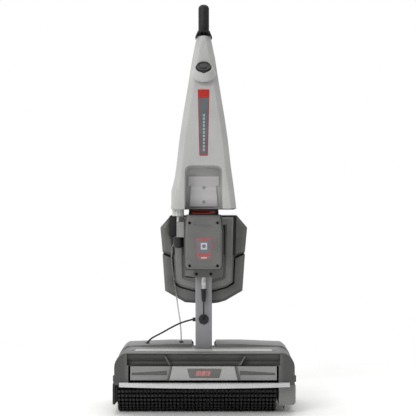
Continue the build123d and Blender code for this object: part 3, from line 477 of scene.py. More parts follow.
def on_rib_gap(at, way):
    """Whether a face of the cap's side is one of the sunk strips between its ribs."""
    out = at - filler
    turn = math.degrees(math.atan2(out.dot(rim_up), out.dot(rim_side))) + 360
    on_side = abs(way.dot(filler_way)) < 0.1 and out.cross(filler_way).length > cap_radius - 0.0005
    return on_side and int(turn / cap_rib_turn) % 2 == 0


pick(cap, "FACE", on_rib_gap)
bpy.ops.mesh.inset(thickness=0.0003, depth=-0.0010, use_individual=True)
done()
ease_edges(cap, 0.0008, 2)
tab_middle = filler + filler_way * 0.0140 + Vector((0, -0.0160, -0.0160))
tab_half = Vector((0.0045, 0.0028, 0.0028))
tab = new_box("tab", tab_middle - tab_half, tab_middle + tab_half)
ease_edges(tab, 0.0012, 3)
unite(cap, tab)
place(cap, "filler_cap", cap_rubber, "filler_cap")

# ---- Tank outlet
# A fluted pale screw ring under the tank's left end, with a spigot that the pump block draws the
# solution from.

# Moulded polypropylene: pale grey with a soft gloss.
polypropylene = surface("moulded_polypropylene", "#C8C8C6", "#BEBEBC", 30, 0.42, 1.6, 0.04)[0]
outlet_x, outlet_y, outlet_foot = -0.070, -0.062, 0.533
outlet = new_rod("tank_outlet_piece", (outlet_x, outlet_y, outlet_foot), (outlet_x, outlet_y, tank_foot),
                 0.0162, 72)


def fluted(piece, middle, flutes, depth):
    """Sinks every other strip of a round bar's side."""
    step = math.pi / flutes

    def sunk(at, way):
        turn = math.atan2(at.y - middle[1], at.x - middle[0]) + 2 * math.pi
        return abs(way.z) < 0.3 and int(turn / step) % 2 == 0

    pick(piece, "FACE", sunk)
    bpy.ops.mesh.inset(thickness=0.0004, depth=-depth)
    done()


fluted(outlet, (outlet_x, outlet_y), 12, 0.0012)
ease_edges(outlet, 0.0006, 2)
spigot = new_rod("spigot", (outlet_x, outlet_y, 0.5165), (outlet_x, outlet_y, outlet_foot + 0.0005),
                 0.00385, 32)
ease_edges(spigot, 0.0005, 2)
unite(outlet, spigot)
place(outlet, "column", polypropylene, "tank_outlet")

# ---- Control box
# An injection-moulded grey box with a screwed-on cover, a finger recess, a rib line near its foot
# and four dark screws in wells.

# Moulded ABS: mid grey on the cover, fine spark-eroded grain, satin gloss. The shell is painted darker:
# painted shade in the gap round the cover's edges.
# Blackened steel: a dark metal with a dull oiled sheen.
grey_abs = surface("moulded_grey_abs", "#6E6E6C", "#666664", 50, 0.42, 1.2, 0.04)[0]
shell_shade_abs = surface("moulded_shell_abs_painted_shade", "#474745", "#3F3F3D", 50, 0.42, 1.2, 0.04)[0]
dark_screw = surface("blackened_screw_steel", "#2B2B2B", "#1F1F1F", 3, 0.45, 0.6, 0.02, metallic=1.0)[0]
shell = new_box("control_box_shell", (-0.054, -0.0785, 0.385), (0.054, -0.020, 0.537))
soften(shell, "EDGE", lambda at, way: abs(way.y) > 0.9 and at.z < 0.4, 0.012, 6)


def narrow_top(piece):
    """Draws the top of a box in, in steps that make its shoulders."""
    for height, share in ((0.495, 1.0), (0.513, 0.965), (0.527, 0.965), (0.5364, 0.955)):
        if height < 0.53:
            pick(piece, "FACE", lambda at, way: True)
            bpy.ops.mesh.bisect(plane_co=(0, 0, height), plane_no=(0, 0, 1))
            done()
        pick(piece, "VERT", lambda at, way: at.z > height - 0.0005)
        bpy.ops.transform.resize(value=(share, 1, 1), center_override=(0, -0.05, height))
        done()


narrow_top(shell)
ease_edges(shell, 0.003, 4, 30)
place(shell, "column", shell_shade_abs, "control_box")
cover = new_box("control_box_cover_piece", (-0.0495, -0.0835, 0.3885), (0.0495, -0.0780, 0.5365))
soften(cover, "EDGE", lambda at, way: abs(way.y) > 0.9 and at.z < 0.4, 0.011, 6)
narrow_top(cover)
pick(cover, "FACE", lambda at, way: way.y < -0.9)
bpy.ops.mesh.inset(thickness=0.0050)
bpy.ops.transform.translate(value=(0, -0.0025, 0))
done()
box_screws = [(x, z) for x in (-0.038, 0.038) for z in (0.5145, 0.3975)]
wells = [new_rod("well", (x, -0.09, z), (x, -0.0820, z), 0.0042, 24) for x, z in box_screws]
unite(*wells)
cut(cover, wells[0])
dish = new_box("dish", (-0.026, -0.09, 0.507), (0.026, -0.0842, 0.522))
soften(dish, "EDGE", lambda at, way: abs(way.y) > 0.9, 0.006, 5)
cut(cover, dish)
rib = new_box("rib", (-0.036, -0.0872, 0.3925), (0.036, -0.0855, 0.3945))
unite(cover, rib)
ease_edges(cover, 0.0010, 3, 20)
place(cover, "column", grey_abs, "control_box_cover")


def socket_screw(x, y, z, radius, height):
    """A cap screw that faces the front, with a sunk hexagon socket."""
    screw = new_rod("screw", (x, y, z), (x, y - height, z), radius, 24)
    ease_edges(screw, radius * 0.12, 2)
    socket = new_rod("socket", (x, y - height - 0.001, z), (x, y - height * 0.4, z), radius * 0.5, 6)
    cut(screw, socket)
    return screw


heads = [socket_screw(x, -0.0821, z, 0.0034, 0.0022) for x, z in box_screws]
unite(*heads)
heads[0].name = "cover_screw_heads"
place(heads[0], "column", dark_screw)

# ---- Keypad dome and panel
# A dark moulded hood over the top of the box, with a sloping red key panel, four flat keys and a
# pale display window.


def give(material, *nodes):
    """Puts a material on CAD nodes, which keep their shape."""
    for node in nodes:
        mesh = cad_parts[node].data
        mesh.materials.clear()
        mesh.materials.append(material)


# Dark ABS: near-black brown with a fine grain. Keypad film: printed polyester with a soft gloss, and the
# display a pale, glossy window. Both are painted paler as painted light, to make up for the tank's shadow on
# them.
dark_abs = surface("moulded_dark_abs", "#302C28", "#262320", 30, 0.38, 1.2, 0.04)[0]
red_panel_painted_light = surface("red_keypad_film_painted_light", "#E04A32", "#D2432C", 20, 0.35, 1.0, 0.02)[0]
display_glass_painted_light = surface("display_window_painted_light", "#DDEBE9", "#D2E0DE", 12, 0.15, 2.0, 0.005, Coat_Weight=0.6)[0]
dome = new_box("keypad_dome", (-0.0410, -0.0830, 0.5365), (0.0410, -0.0285, 0.5520))
shift(dome, "VERT", lambda at, way: at.z > 0.55 and at.y < -0.06, (0, 0.0040, -0.0130))
soften(dome, "EDGE", lambda at, way: abs(at.x) > 0.04 and at.z > 0.538 and abs(way.x) < 0.1
       and at.y > -0.08, 0.0085, 6)
ease_edges(dome, 0.0012, 3)
panel_slope = math.radians(19.44)
panel_way = Vector((0, -math.sin(panel_slope), math.cos(panel_slope)))
panel_at = Vector((0, -0.065, 0.544))


def on_panel(name, x, across, width, depth, low, high):
    """A thin plate with round corners on the sloping panel. across is up the slope from its middle."""
    bpy.ops.object.select_all(action="DESELECT")
    up_slope = Vector((0, panel_way.z, -panel_way.y))
    middle = panel_at + Vector((x, 0, 0)) + up_slope * across + panel_way * (low + high) / 2
    bpy.ops.mesh.primitive_cube_add(size=1, rotation=(panel_slope, 0, 0), location=middle)
    piece = bpy.context.object
    piece.name = name
    piece.scale = (width, depth, high - low)
    bpy.ops.object.transform_apply(location=True, rotation=True, scale=True)
    soften(piece, "EDGE", lambda at, way: abs(way.dot(panel_way)) > 0.95, depth * 0.35, 6)
    return piece


place(dome, "column", dark_abs, "keypad_housing")
panel = on_panel("keypad_panel", 0, 0, 0.066, 0.026, -0.001, 0.0012)
ease_edges(panel, 0.0003, 2)
place(panel, "column", red_panel_painted_light)
window = on_panel("keypad_display", 0.0235, 0.001, 0.015, 0.014, 0.0012, 0.0016)
place(window, "column", display_glass_painted_light)
key_film = surface("printed_key_film", "#F08A76", "#E47E6A", 4, 0.35, 1.0, 0.02)[0]
give(key_film, "power_key", "pump_key", "speed_key", "reset_key")

# ---- Box badge
# A printed shield-shaped sticker: a thin red outline on a grey field, a red bar, a plain square with
# a disc, a red bowed bar and a pale bar. It carries no lettering.

# Printed film: three flat inks under a thin satin laminate.
badge_grey = surface("badge_grey_film", "#74727A", "#6C6A72", 14, 0.35, 1.0, 0.01)[0]
badge_red = surface("badge_red_film", "#D2483A", "#C33F32", 10, 0.35, 1.0, 0.01)[0]
badge_pale = surface("badge_pale_film", "#C9CDD1", "#BDC1C6", 8, 0.35, 1.0, 0.01)[0]


def flat_plate(name, low_x, high_x, low_z, high_z, face, corner, narrow=1.0, thick=0.0008):
    """A thin sticker that faces the front, narrower at its foot, with round corners."""
    piece = new_box(name, (low_x, face, low_z), (high_x, face + thick, high_z))
    pick(piece, "FACE", lambda at, way: way.z < -0.9)
    bpy.ops.transform.resize(value=(narrow, 1, 1), center_override=((low_x + high_x) / 2, face, low_z))
    done()
    soften(piece, "EDGE", lambda at, way: abs(way.y) > 0.9, corner, 5)
    return piece


# Each layer lies 0.3 mm in front of the one under it.
outline = flat_plate("box_badge_outline", -0.0230, 0.0252, 0.4140, 0.4735, -0.0865, 0.0050, 0.76)
place(outline, "column", badge_red)
inner = flat_plate("box_badge_field", -0.0220, 0.0242, 0.4152, 0.4723, -0.0868, 0.0045, 0.76)
place(inner, "column", badge_grey)
top_bar = flat_plate("box_badge_bars", -0.0125, 0.0145, 0.4660, 0.4692, -0.0871, 0.0004)
smile = new_rod("smile", (0.001, -0.0871, 0.4500), (0.001, -0.0863, 0.4500), 0.0290, 96)
hollow = new_rod("hollow", (0.001, -0.0880, 0.4545), (0.001, -0.0852, 0.4545), 0.0275, 96)
cut(smile, hollow)
side = new_box("side", (-0.0145, -0.0880, 0.40), (0.0165, -0.0852, 0.4330))
cut(smile, side, "INTERSECT")
unite(top_bar, smile)
place(top_bar, "column", badge_red)
square = flat_plate("box_badge_square", -0.0075, 0.0095, 0.4420, 0.4600, -0.0871, 0.0010)
foot_bar = flat_plate("foot_bar", -0.0070, 0.0090, 0.4178, 0.4210, -0.0871, 0.0004)
unite(square, foot_bar)
place(square, "column", badge_pale)
disc = new_rod("box_badge_disc", (0.001, -0.0874, 0.4510), (0.001, -0.0866, 0.4510), 0.0052, 32)
ease_edges(disc, 0.0001, 1)
place(disc, "column", badge_grey)

# ---- Battery and dock
# The battery is a moulded dark grey casing with two faceted lobes and a rounded middle. Its foot
# Its foot drops into a U-shaped dock of the same plastic, and black pieces in the seams, gaps and notch are
# painted shade.

# Moulded ABS with a fine leather-like grain and a satin sheen: a dark casing, and a core painted paler as
# painted light that lifts the shade it sits in.
casing_abs = surface("moulded_casing_abs", "#666664", "#5D5D5B", 45, 0.36, 1.4, 0.05)[0]
painted_light_core_abs = surface("moulded_core_abs_painted_light", "#848482", "#7A7A79", 45, 0.34, 1.4, 0.05)[0]


def prism(name, right_half, near, far):
    """A convex block, mirrored about the middle. Its right outline runs upwards in X and Z."""
    outline = right_half + [(-x, z) for x, z in reversed(right_half)]
    xs, zs = [p[0] for p in outline], [p[1] for p in outline]
    piece = new_box(name, (min(xs), near, min(zs)), (max(xs), far, max(zs)))
    for (xa, za), (xb, zb) in zip(outline, outline[1:] + outline[:1]):
        if abs(xa - xb) > 1e-6 and abs(za - zb) > 1e-6:
            trim(piece, (xa, near, za), (zb - za, 0, xa - xb))
    return piece


lobes = prism("battery_lobes", [(0.0890, 0.4170), (0.1165, 0.4290), (0.1230, 0.5000), (0.0930, 0.5350)],
              0.032, 0.124)
pick(lobes, "FACE", lambda at, way: way.y < -0.9)
bpy.ops.mesh.inset(thickness=0.0100)
bpy.ops.transform.translate(value=(0, -0.0080, 0))
done()
ease_edges(lobes, 0.0020, 3, 20)
core = prism("battery_core", [(0.030, 0.3225), (0.064, 0.3325), (0.078, 0.3420), (0.0835, 0.3530),
                              (0.0880, 0.5330)], 0.027, 0.120)
pick(core, "FACE", lambda at, way: way.y < -0.9)
bpy.ops.mesh.inset(thickness=0.0080)
bpy.ops.transform.translate(value=(0, -0.0075, 0))
bpy.ops.mesh.inset(thickness=0.0140)
bpy.ops.mesh.inset(thickness=0.0080)
bpy.ops.transform.translate(value=(0, 0.0080, 0))
done()
ease_edges(core, 0.0030, 3, 20)
notch_low, notch_high = (-0.0940, 0.0, 0.4780), (-0.0760, 0.050, 0.5400)
notch = new_box("notch", notch_low, notch_high)
soften(notch, "EDGE", lambda at, way: abs(way.y) > 0.9 and at.z < 0.49, 0.006, 4)
cut(core, notch)
notch = new_box("notch", notch_low, notch_high)
cut(lobes, notch)
place(lobes, "battery", casing_abs, "battery_pack")
place(core, "battery", painted_light_core_abs)
seam = prism("battery_seam_shade", [(0.0895, 0.4215), (0.0925, 0.5330)], 0.0233, 0.0330)
pit = new_box("pit", (-0.0965, 0.0180, 0.4750), (-0.0745, 0.0300, 0.5335))
soften(pit, "EDGE", lambda at, way: abs(way.y) > 0.9 and at.z < 0.49, 0.007, 4)
joint_gap = prism("joint_gap", [(0.0890, 0.4145), (0.1145, 0.4252), (0.1150, 0.4340)], 0.0450, 0.1180)
unite(seam, pit, joint_gap)
ease_edges(seam, 0.0005, 2)
# Painted shade: matt black pieces in the seam, the gaps and the notch stand for the shadow in them.
gap_shade_black = surface("painted_gap_shade_black", "#0D0D0D", "#080808", 20, 0.6, 1.2, 0.03)[0]
place(seam, "battery", gap_shade_black)
dock = prism("battery_dock_piece", [(0.010, 0.2840), (0.040, 0.2870), (0.061, 0.2930), (0.1095, 0.3210),
                                    (0.1168, 0.4260), (0.0870, 0.4260)], 0.028, 0.129)
pick(dock, "FACE", lambda at, way: way.y < -0.9)
bpy.ops.mesh.inset(thickness=0.0090)
bpy.ops.transform.translate(value=(0, -0.0080, 0))
done()
well = prism("well", [(0.026, 0.3185), (0.0668, 0.3298), (0.0812, 0.3390), (0.0862, 0.3500),
                      (0.0895, 0.4300)], -0.05, 0.1260)
cut(dock, well)
above = prism("above", [(0.0800, 0.4095), (0.1300, 0.4301), (0.1300, 0.4600)], -0.05, 0.20)
cut(dock, above)
ease_edges(dock, 0.0018, 3, 20)
place(dock, "column", casing_abs, "battery_dock")

# ---- Pump, clamp and connector
# The pump hangs beside the box: a grey mounting block with a round black head. The clamp holds the
# box to the post, and the control cable's plated connector ends in a ribbed rubber relief.

# Moulded ABS: light grey and grained on the pump block, darker on the clamp. Pump head: matt black.
pump_abs = surface("pump_block_abs", "#9A9A98", "#90908E", 30, 0.42, 1.4, 0.04)[0]
pump_rubber = surface("pump_head_rubber", "#141414", "#0D0D0D", 12, 0.5, 1.0, 0.05)[0]
give(pump_abs, "pump_block")
give(pump_rubber, "pump_head")
bracket_abs = surface("clamp_bracket_abs", "#6A6A68", "#62625F", 25, 0.42, 1.4, 0.04)[0]
give(bracket_abs, "clamp_bracket")
# Nickel-plated brass: bright, with fine turning marks round it.
nickel = surface("nickel_plated_brass", "#C9C8C6", "#B5B4B2", 6, 0.28, 0.5, 0.02, (1, 1, 6), 1.0)[0]
cord_y = control_cable_route[0][1]
plug = new_rod("connector_shell", (0, cord_y, 0.3310), (0, cord_y, 0.3630), 0.0062, 48)
fluted(plug, (0, cord_y), 12, 0.0004)
sleeve = new_rod("sleeve", (0, cord_y, 0.3420), (0, cord_y, 0.3560), 0.0068, 48)
ease_edges(sleeve, 0.0008, 2)
unite(plug, sleeve)
ease_edges(plug, 0.0002, 1)
place(plug, "column", nickel, "control_connector")
relief_foot, ring_step, ring_height, relief_rings = 0.2955, 0.0051, 0.0036, 7
relief_parts = []
for n in range(relief_rings):
    low = relief_foot + n * ring_step
    thick = 0.0054 + 0.0032 * (n + 0.5) / relief_rings
    ring = new_rod("relief_ring", (0, cord_y, low), (0, cord_y, low + ring_height), thick, 40)
    ease_edges(ring, 0.0010, 3)
    relief_parts.append(ring)
spine = new_rod("control_cable_relief", (0, cord_y, 0.2952), (0, cord_y, 0.3312), 0.0050, 40)
ease_edges(spine, 0.0004, 2)
unite(spine, *relief_parts)
place(spine, "column", cable_rubber)

# ---- Base hood
# The base's main cover: one moulding in mid-grey ABS with rounded ends, a concave band across its front
# painted dark as shade, two diagonal ridges and, below, the opening that the recovery tray slides into.

# Moulded ABS: mid grey with a fine grain, painted darker towards the two rounded ends as painted shade.
hood_abs, hood_shader, hood_place, hood_ramp = surface("moulded_hood_abs", "#6C6C6B", "#646463", 60, 0.44,
                                                       1.4, 0.05)
hood_spot = add_node(hood_abs, "ShaderNodeSeparateXYZ", Vector=(hood_place, "Vector"))
hood_across = add_node(hood_abs, "ShaderNodeMath", {"operation": "ABSOLUTE"}, i0=(hood_spot, "X"))
# Painted shade: the colour goes dark from 200 mm out from the middle and is fully dark past 216 mm.
hood_end_shade = add_node(hood_abs, "ShaderNodeMapRange", {1: 0.200, 2: 0.216, 3: 0.0, 4: 1.0},
                    i0=(hood_across, "Value"))
hood_shade_tone = add_node(hood_abs, "ShaderNodeMix", {"data_type": "RGBA", 7: linear("#4A4A49")},
                     i0=(hood_end_shade, "Result"), i6=(hood_ramp, "Color"))
join(hood_abs, hood_shader, Base_Color=(hood_shade_tone, 2))
hood = new_box("hood_piece", (-0.240, -0.128, 0.080), (0.245, 0.004, 0.1665))
soften(hood, "EDGE", lambda at, way: abs(way.y) > 0.9 and at.z > 0.16, 0.040, 12)
soften(hood, "EDGE", lambda at, way: at.y < -0.127 and at.z > 0.1 and abs(way.x) > 0.15, 0.0025, 3)
band = new_box("band", (-0.206, -0.16, 0.1325), (0.206, -0.1175, 0.1635))
soften(band, "EDGE", lambda at, way: at.y > -0.12 and abs(way.x) > 0.9, 0.0085, 6)
soften(band, "EDGE", lambda at, way: abs(way.y) > 0.9 and at.z < 0.14, 0.010, 5)
shift(band, "VERT", lambda at, way: at.y > -0.13 and at.z > 0.15, (0, -0.0030, 0))
shift(band, "VERT", lambda at, way: at.y > -0.13 and at.z < 0.15, (0, 0.0050, 0))
cut(hood, band)
pick(hood, "FACE", lambda at, way: way.z < -0.99 and at.z < 0.081 or way.y > 0.99)
bpy.ops.mesh.delete(type="FACE")
done()
modify(hood, "SOLIDIFY", thickness=0.003, offset=-1)
window = new_box("window", (-0.202, -0.20, 0.06), (0.202, -0.1145, 0.1325))
cut(hood, window)
slot = new_box("slot", (-0.029, -0.020, 0.10), (0.029, 0.05, 0.20))
cut(hood, slot)
ease_edges(hood, 0.0007, 2, 30)
for way in (-1, 1):
    ridge = new_box("ridge", (-0.0035, -0.1290, 0.1325), (0.0035, -0.1120, 0.1580))
    shift(ridge, "VERT", lambda at, normal: at.z > 0.15, (way * 0.0240, 0, 0))
    pick(ridge, "FACE", lambda at, normal: normal.y < -0.9)
    bpy.ops.transform.resize(value=(0.5, 1, 1))
    done()
    shift(ridge, "FACE", lambda at, normal: True, (way * 0.0890 + 0.0040, 0, 0))
    ease_edges(ridge, 0.0012, 3)
    unite(hood, ridge)
place(hood, "base", hood_abs, "hood")
# Painted shade: the same grain in a darker grey on the faces inside the concave band, standing for its
# shadow.
band_shade_abs = surface("band_painted_shade_abs", "#4B4B49", "#434341", 60, 0.50, 1.4, 0.05)[0]
hood.data.materials.append(band_shade_abs)
for face in hood.data.polygons:
    at = face.center
    in_shaded_band = -0.1272 < at.y < -0.1080 and 0.1322 < at.z < 0.1640 and abs(at.x) < 0.2062
    if in_shaded_band and face.normal.y < -0.3:
        face.material_index = 1

# ---- Rear cover
# The matching cover behind the post. Two low lobes fall towards its ends, and a notch and a well in
# the middle leave the post room to lean back.

# Moulded ABS: the hood's grain, in a slightly paler grey.
rear_abs = surface("moulded_rear_abs", "#737374", "#6B6B6C", 60, 0.44, 1.4, 0.05)[0]
rear_top = 0.1735
rear = new_box("rear_cover_piece", (-0.240, 0.0045, 0.100), (0.245, 0.132, rear_top))
soften(rear, "EDGE", lambda at, way: abs(way.y) > 0.9 and at.z > 0.16, 0.046, 12)
for away, fall in ((0.140, 0.045), (0.050, 0.09)):
    for way, end in ((-1, -0.240), (1, 0.245)):
        trim(rear, (end - way * away, 0, rear_top), (way * fall, 0, 1))
trim(rear, (0, 0.112, rear_top), (0, 0.023, 0.018))
pick(rear, "FACE", lambda at, way: way.z < -0.99)
bpy.ops.mesh.delete(type="FACE")
done()
modify(rear, "SOLIDIFY", thickness=0.003, offset=-1)
well = new_box("well", (-0.0292, -0.02, 0.1300), (0.0292, 0.200, 0.1900))
cut(rear, well)
flare = prism("flare", [(0.0100, 0.1620), (0.0292, 0.1630), (0.0385, 0.1800)], -0.02, 0.200)
cut(rear, flare)
ease_edges(rear, 0.0008, 2, 30)
floor_plate = new_box("floor_plate", (-0.0330, 0.0180, 0.1310), (0.0330, 0.1000, 0.1340))
shift(floor_plate, "VERT", lambda at, way: at.y > 0.09, (0, 0, 0.0240))
cheeks = [new_box("cheek", (x, 0.0180, 0.1200), (x + 0.0030, 0.1290, 0.1640)) for x in (-0.0325, 0.0295)]
unite(floor_plate, *cheeks)
ease_edges(floor_plate, 0.0005, 2)
unite(rear, floor_plate)
place(rear, "base", rear_abs, "rear_cover")

# ---- Recovery tray
# The pull-out dirty-water tray. Its front shows as a pale middle panel between two ribs, with a darker wing
# on each side that has a wedge-shaped finger groove, painted dark inside as shade.

# Moulded ABS: pale grey, with a paler middle panel whose sides lean in as they rise.
tray_abs, tray_shader, tray_place, tray_ramp = surface("moulded_tray_abs", "#8E8E8C", "#868684", 50, 0.42,
                                                       1.4, 0.05)
spot = add_node(tray_abs, "ShaderNodeSeparateXYZ", Vector=(tray_place, "Vector"))
across = add_node(tray_abs, "ShaderNodeMath", {"operation": "ABSOLUTE"}, i0=(spot, "X"))
leaning = add_node(tray_abs, "ShaderNodeMath", {"operation": "MULTIPLY_ADD", 1: 0.23, 2: 0.0}, i0=(spot, "Z"))
edge_of_panel = add_node(tray_abs, "ShaderNodeMath", {"operation": "ADD"}, i0=(across, "Value"),
                         i1=(leaning, "Value"))
in_panel = add_node(tray_abs, "ShaderNodeMath", {"operation": "LESS_THAN", 1: 0.1138},
                    i0=(edge_of_panel, "Value"))
panel_tone = add_node(tray_abs, "ShaderNodeMix", {"data_type": "RGBA", 7: linear("#A8A8A6")},
                      i0=(in_panel, "Value"), i6=(tray_ramp, "Color"))
join(tray_abs, tray_shader, Base_Color=(panel_tone, 2))
give(tray_abs, "recovery_tray")
# Moulded ABS: the ribs are a darker grey. The same grey on the thin wedge plates in the wings' grooves is
# painted shade under each groove's lip.
rib_abs_and_groove_shade = surface("moulded_rib_abs_and_groove_shade", "#5F5F5D", "#565654", 30, 0.42, 1.4, 0.05)[0]
give(rib_abs_and_groove_shade, "tray_ribs")
# Thin wedge plates in the wings, painted dark as the shadow under each groove's lip.
for way in (-1, 1):
    groove = new_box("tray_groove", (0.0985, -0.1329, 0.1080), (0.1920, -0.1324, 0.1190))
    shift(groove, "VERT", lambda at, normal: at.x > 0.15 and at.z > 0.11, (0, 0, -0.0058))
    ease_edges(groove, 0.0001, 1)
    if way < 0:
        pick(groove, "FACE", lambda at, normal: True)
        bpy.ops.transform.mirror(constraint_axis=(True, False, False), center_override=(0, 0, 0))
        bpy.ops.mesh.normals_make_consistent(inside=False)
        done()
    groove.name = "tray_groove_shade_right" if way > 0 else "tray_groove_shade_left"
    place(groove, "recovery_tray", rib_abs_and_groove_shade)

# ---- Tray badge
# A dark trapezoid plate pressed into the middle panel, with plain slanting red bars in place of its lettering
# and a pale strip along its lower edge as a painted highlight.

# Printed film: a dark satin plate, a pale edge that is a painted highlight, and a soft red ink.
badge_dark = surface("badge_dark_plate", "#6B6B69", "#636361", 20, 0.40, 1.2, 0.02)[0]
badge_highlight_edge = surface("badge_edge_painted_highlight", "#C4C4C2", "#B8B8B6", 20, 0.35, 1.0, 0.01)[0]
badge_salmon = surface("badge_salmon_film", "#C8807A", "#BA746E", 8, 0.40, 1.0, 0.01)[0]
rim = flat_plate("tray_badge_highlight_edge", -0.0440, 0.0492, 0.0985, 0.1250, -0.1403, 0.0030, 0.84)
place(rim, "recovery_tray", badge_highlight_edge)
plate = flat_plate("tray_badge", -0.0440, 0.0492, 0.1000, 0.1256, -0.1407, 0.0030, 0.85)
place(plate, "recovery_tray", badge_dark)
mark_bars = ((-0.0215, 0.0085), (-0.0115, 0.0035), (-0.0060, 0.0085), (0.0045, 0.0035), (0.0100, 0.0060))
marks = []
for start, width in mark_bars:
    mark = flat_plate("tray_badge_marks", start, start + width, 0.1065, 0.1195, -0.1410, 0.0006)
    shift(mark, "VERT", lambda at, way: at.z > 0.113, (0.0035, 0, 0))
    marks.append(mark)
unite(marks[0], *marks[1:])
place(marks[0], "recovery_tray", badge_salmon)

# ---- Trim, bumper and end plates
# A pale moulded trim strip on the hood, whose paleness is partly a painted highlight, a flexible bumper bar
# in front painted pale as a highlight, the gear case on the right and a black end plate on the left.

# Moulded plastics with a fine grain: a pale trim whose grey is partly its own colour and partly a painted
# highlight on its raised edge, a paler bumper whose pale grey is a painted highlight standing for the bright
# bar's reflection, a mid-grey gear case, near-black small parts and dark grey knobs.
trim_plastic_and_highlight = surface("pale_trim_and_painted_highlight", "#ADADAA", "#A3A3A0", 40, 0.38, 1.4, 0.03)[0]
give(trim_plastic_and_highlight, "top_trim")
bumper_painted_highlight = surface("bumper_painted_highlight_plastic", "#CFCECF", "#C6C5C6", 60, 0.42, 1.4, 0.04)[0]
give(bumper_painted_highlight, "bumper")
gear_case_abs = surface("moulded_gear_case_abs", "#80807E", "#787876", 50, 0.42, 1.4, 0.05)[0]
give(gear_case_abs, "gear_case", "gear_case_cover")
black_abs = surface("moulded_black_abs", "#1E1E1E", "#161616", 40, 0.45, 1.2, 0.04)[0]
give(black_abs, "left_end_plate", "spray_bar", "cover_grommets", "post_grommets")
knob_abs = surface("moulded_knob_abs", "#504F4E", "#474645", 12, 0.42, 1.0, 0.04)[0]
give(knob_abs, "left_side_knob", "right_side_knob")
fin_length = 0.0250
for name, side, way in (("left_knob_fin", -0.2405, 1), ("right_knob_fin", 0.2455, -1)):
    fin_start, fin_end = sorted((side, side + way * fin_length))
    fin = new_box(name, (fin_start, -0.1300, 0.0935), (fin_end, -0.1240, 0.1000))
    pick(fin, "VERT", lambda at, normal: abs(at.x - side) > 0.02)
    bpy.ops.transform.resize(value=(1, 0.6, 0.35), center_override=(0, -0.1260, 0.0945))
    done()
    ease_edges(fin, 0.0010, 3)
    place(fin, "base", knob_abs)

# ---- Brushes
# Two contra-rotating roller brushes. Each is a moulded core set with rings of black nylon tufts,
# ten millimetres apart along it and twelve degrees apart round it.

# Nylon bristle: near-black, with a fibre streak along each tuft and a low sheen.
bristle_nylon = surface("bristle_nylon", "#111111", "#080808", 2, 0.5, 0.7, 0.10)[0]
brush_start, ring_pitch, ring_count, row_count = -0.2283, 0.010, 43, 30
brush_height, tuft_length, tuft_middle = 0.055, 0.0255, 0.04225
for name, middle_y in (("front_brush", -0.062), ("rear_brush", 0.062)):
    bpy.ops.object.select_all(action="DESELECT")
    bpy.ops.mesh.primitive_cone_add(vertices=8, radius1=0.0028, radius2=0.0042, depth=tuft_length,
                                    location=(brush_start, middle_y, brush_height + tuft_middle))
    tufts = bpy.context.object
    tufts.name = name + "_tufts"
    bpy.ops.object.transform_apply(location=True, rotation=True, scale=True)
    pick(tufts, "FACE", lambda at, way: way.z > 0.9)
    bpy.ops.mesh.inset(thickness=0.0012, depth=-0.0008)
    done()
    modify(tufts, "ARRAY", count=ring_count, use_relative_offset=False, use_constant_offset=True,
           constant_offset_displace=(ring_pitch, 0, 0))
    pick(tufts, "FACE", lambda at, way: True)
    bpy.ops.mesh.spin(steps=row_count, dupli=True, angle=2 * math.pi, use_auto_merge=False,
                      center=(0, middle_y, brush_height), axis=(1, 0, 0))
    done()
    pick(tufts, "FACE", lambda at, way: True)
    bpy.ops.mesh.remove_doubles(threshold=0.00001)
    done()
    bpy.ops.object.shade_smooth_by_angle(angle=math.radians(50))
    place(tufts, name, bristle_nylon, name + "_bristles")
# Moulded nylon: a dark satin core under the bristles.
core_nylon = surface("moulded_core_nylon", "#202020", "#181818", 30, 0.45, 1.2, 0.04)[0]
give(core_nylon, "front_brush_core", "rear_brush_core")

# ---- Drive
# Moulded natural nylon gears and bushes, a painted motor can and zinc-plated steel hinge, brackets
# and crossmember, mostly hidden under the covers.

# Natural nylon: creamy and waxy. Zinc plate: bright, cool and slightly patchy.
gear_nylon = surface("natural_gear_nylon", "#D8D3C4", "#CDC7B6", 20, 0.42, 1.2, 0.03)[0]
give(gear_nylon, "pickup_drum", "front_idler_gear", "rear_idler_gear", "motor_idler_gear", "bearing_bushes")
zinc = surface("zinc_plated_steel", "#B4B6B8", "#A2A4A7", 9, 0.38, 0.8, 0.02, (1, 1, 1), 1.0)[0]
give(zinc, "motor_pinion", "base_screws", "hinge_fork_and_pin", "post_foot_lug", "wheel_brackets",
     "rear_crossmember")
# Black motor paint: smooth, with a soft gloss.
motor_paint = surface("black_motor_paint", "#2A2B2D", "#222325", 30, 0.35, 1.4, 0.05)[0]
give(motor_paint, "brush_motor")
# Galvanised sheet: cool grey metal with broad spangle.
galvanised = surface("galvanised_sheet", "#A9ACAF", "#94979A", 14, 0.42, 1.0, 0.02, (1, 1, 1), 1.0)[0]
give(galvanised, "deck_plate")

# ---- Fasteners
# The column's screws are blackened steel. Over them, the two that hold the mounting plates show wide
# zinc-plated heads.
give(dark_screw, "column_screws")
plate_heads = [socket_screw(0, -0.0517, z, 0.0044, 0.0007) for z in (0.611, 0.572)]
unite(*plate_heads)
plate_heads[0].name = "plate_screw_heads"
place(plate_heads[0], "column", zinc)

# ---- Transport wheels
# Small hard rubber wheels on steel axles behind the rear brush.

# Tyre rubber: matt dark grey with a coarse tooth.
tyre_rubber = surface("wheel_tyre_rubber", "#2C2C2C", "#212121", 10, 0.6, 1.4, 0.12)[0]
give(tyre_rubber, "left_transport_wheel", "right_transport_wheel")

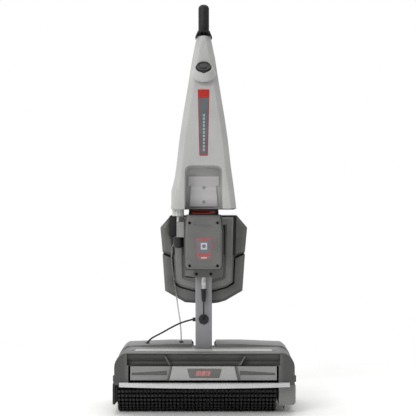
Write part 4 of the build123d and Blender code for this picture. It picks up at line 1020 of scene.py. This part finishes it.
# ---- Column
# The post is a powder-coated steel tube, fine-textured and mid grey. Brushed aluminium plates carry
# the tank, and a rubber-covered grip with a small button tops the post above a black collar.

# Powder coat: cool mid grey with a fine even texture and a low gloss.
powder = surface("powder_coated_steel", "#96969A", "#8E8E92", 40, 0.42, 1.0, 0.05)[0]
give(powder, "post")
# Brushed aluminium: long fine streaks across the sheet and a soft anisotropic gloss.
aluminium = surface("brushed_aluminium", "#DFDDDE", "#D1CFD0", 30, 0.46, 0.5, 0.03, (0.03, 1, 1), 1.0,
                    Anisotropic=0.5)[0]
give(aluminium, "mounting_plates")
# Grip rubber: matt black with a fine tooth.
grip_rubber = surface("grip_rubber", "#181818", "#111111", 12, 0.6, 1.2, 0.15)[0]
give(grip_rubber, "grip", "grip_button")
# Soft collar: matt black rubber with a fine tooth, moulded with two drooping tips.
collar_rubber = surface("collar_rubber", "#171717", "#101010", 12, 0.7, 1.2, 0.10, Specular_IOR_Level=0.25)[0]
collar = new_box("collar_piece", (-0.0235, -0.0460, 1.0290), (0.0235, 0.0215, 1.0470))
pick(collar, "VERT", lambda at, way: at.z > 1.04)
bpy.ops.transform.resize(value=(0.72, 0.72, 1), center_override=(0, -0.004, 1.047))
done()
soften(collar, "EDGE", lambda at, way: abs(way.z) > 0.8, 0.011, 6)
arch_height = 1.0190
arch = new_rod("arch", (0, -0.08, arch_height), (0, 0.06, arch_height), 0.0235, 64)
arch_end = new_rod("arch_end", (0, 0, 1.0), (0, 0, 1.060), 0.0140, 48)
cut(collar, arch)
cut(collar, arch_end)
ease_edges(collar, 0.0010, 2, 40)
place(collar, "column", collar_rubber, "collar")

# ---- Circuit board and cells
# Closed inside the control box and the battery: a printed board, and cells wrapped in film.

# Circuit laminate: deep green lacquer, slightly uneven, glossy. Cells: shrink-wrapped blue film.
laminate = surface("circuit_laminate", "#1F6B3C", "#185A31", 6, 0.3, 0.8, 0.02, Coat_Weight=0.4)[0]
give(laminate, "circuit_board")
shrink_film = surface("cell_shrink_film", "#2F5E8C", "#274F78", 12, 0.3, 1.0, 0.02)[0]
give(shrink_film, "battery_cells")
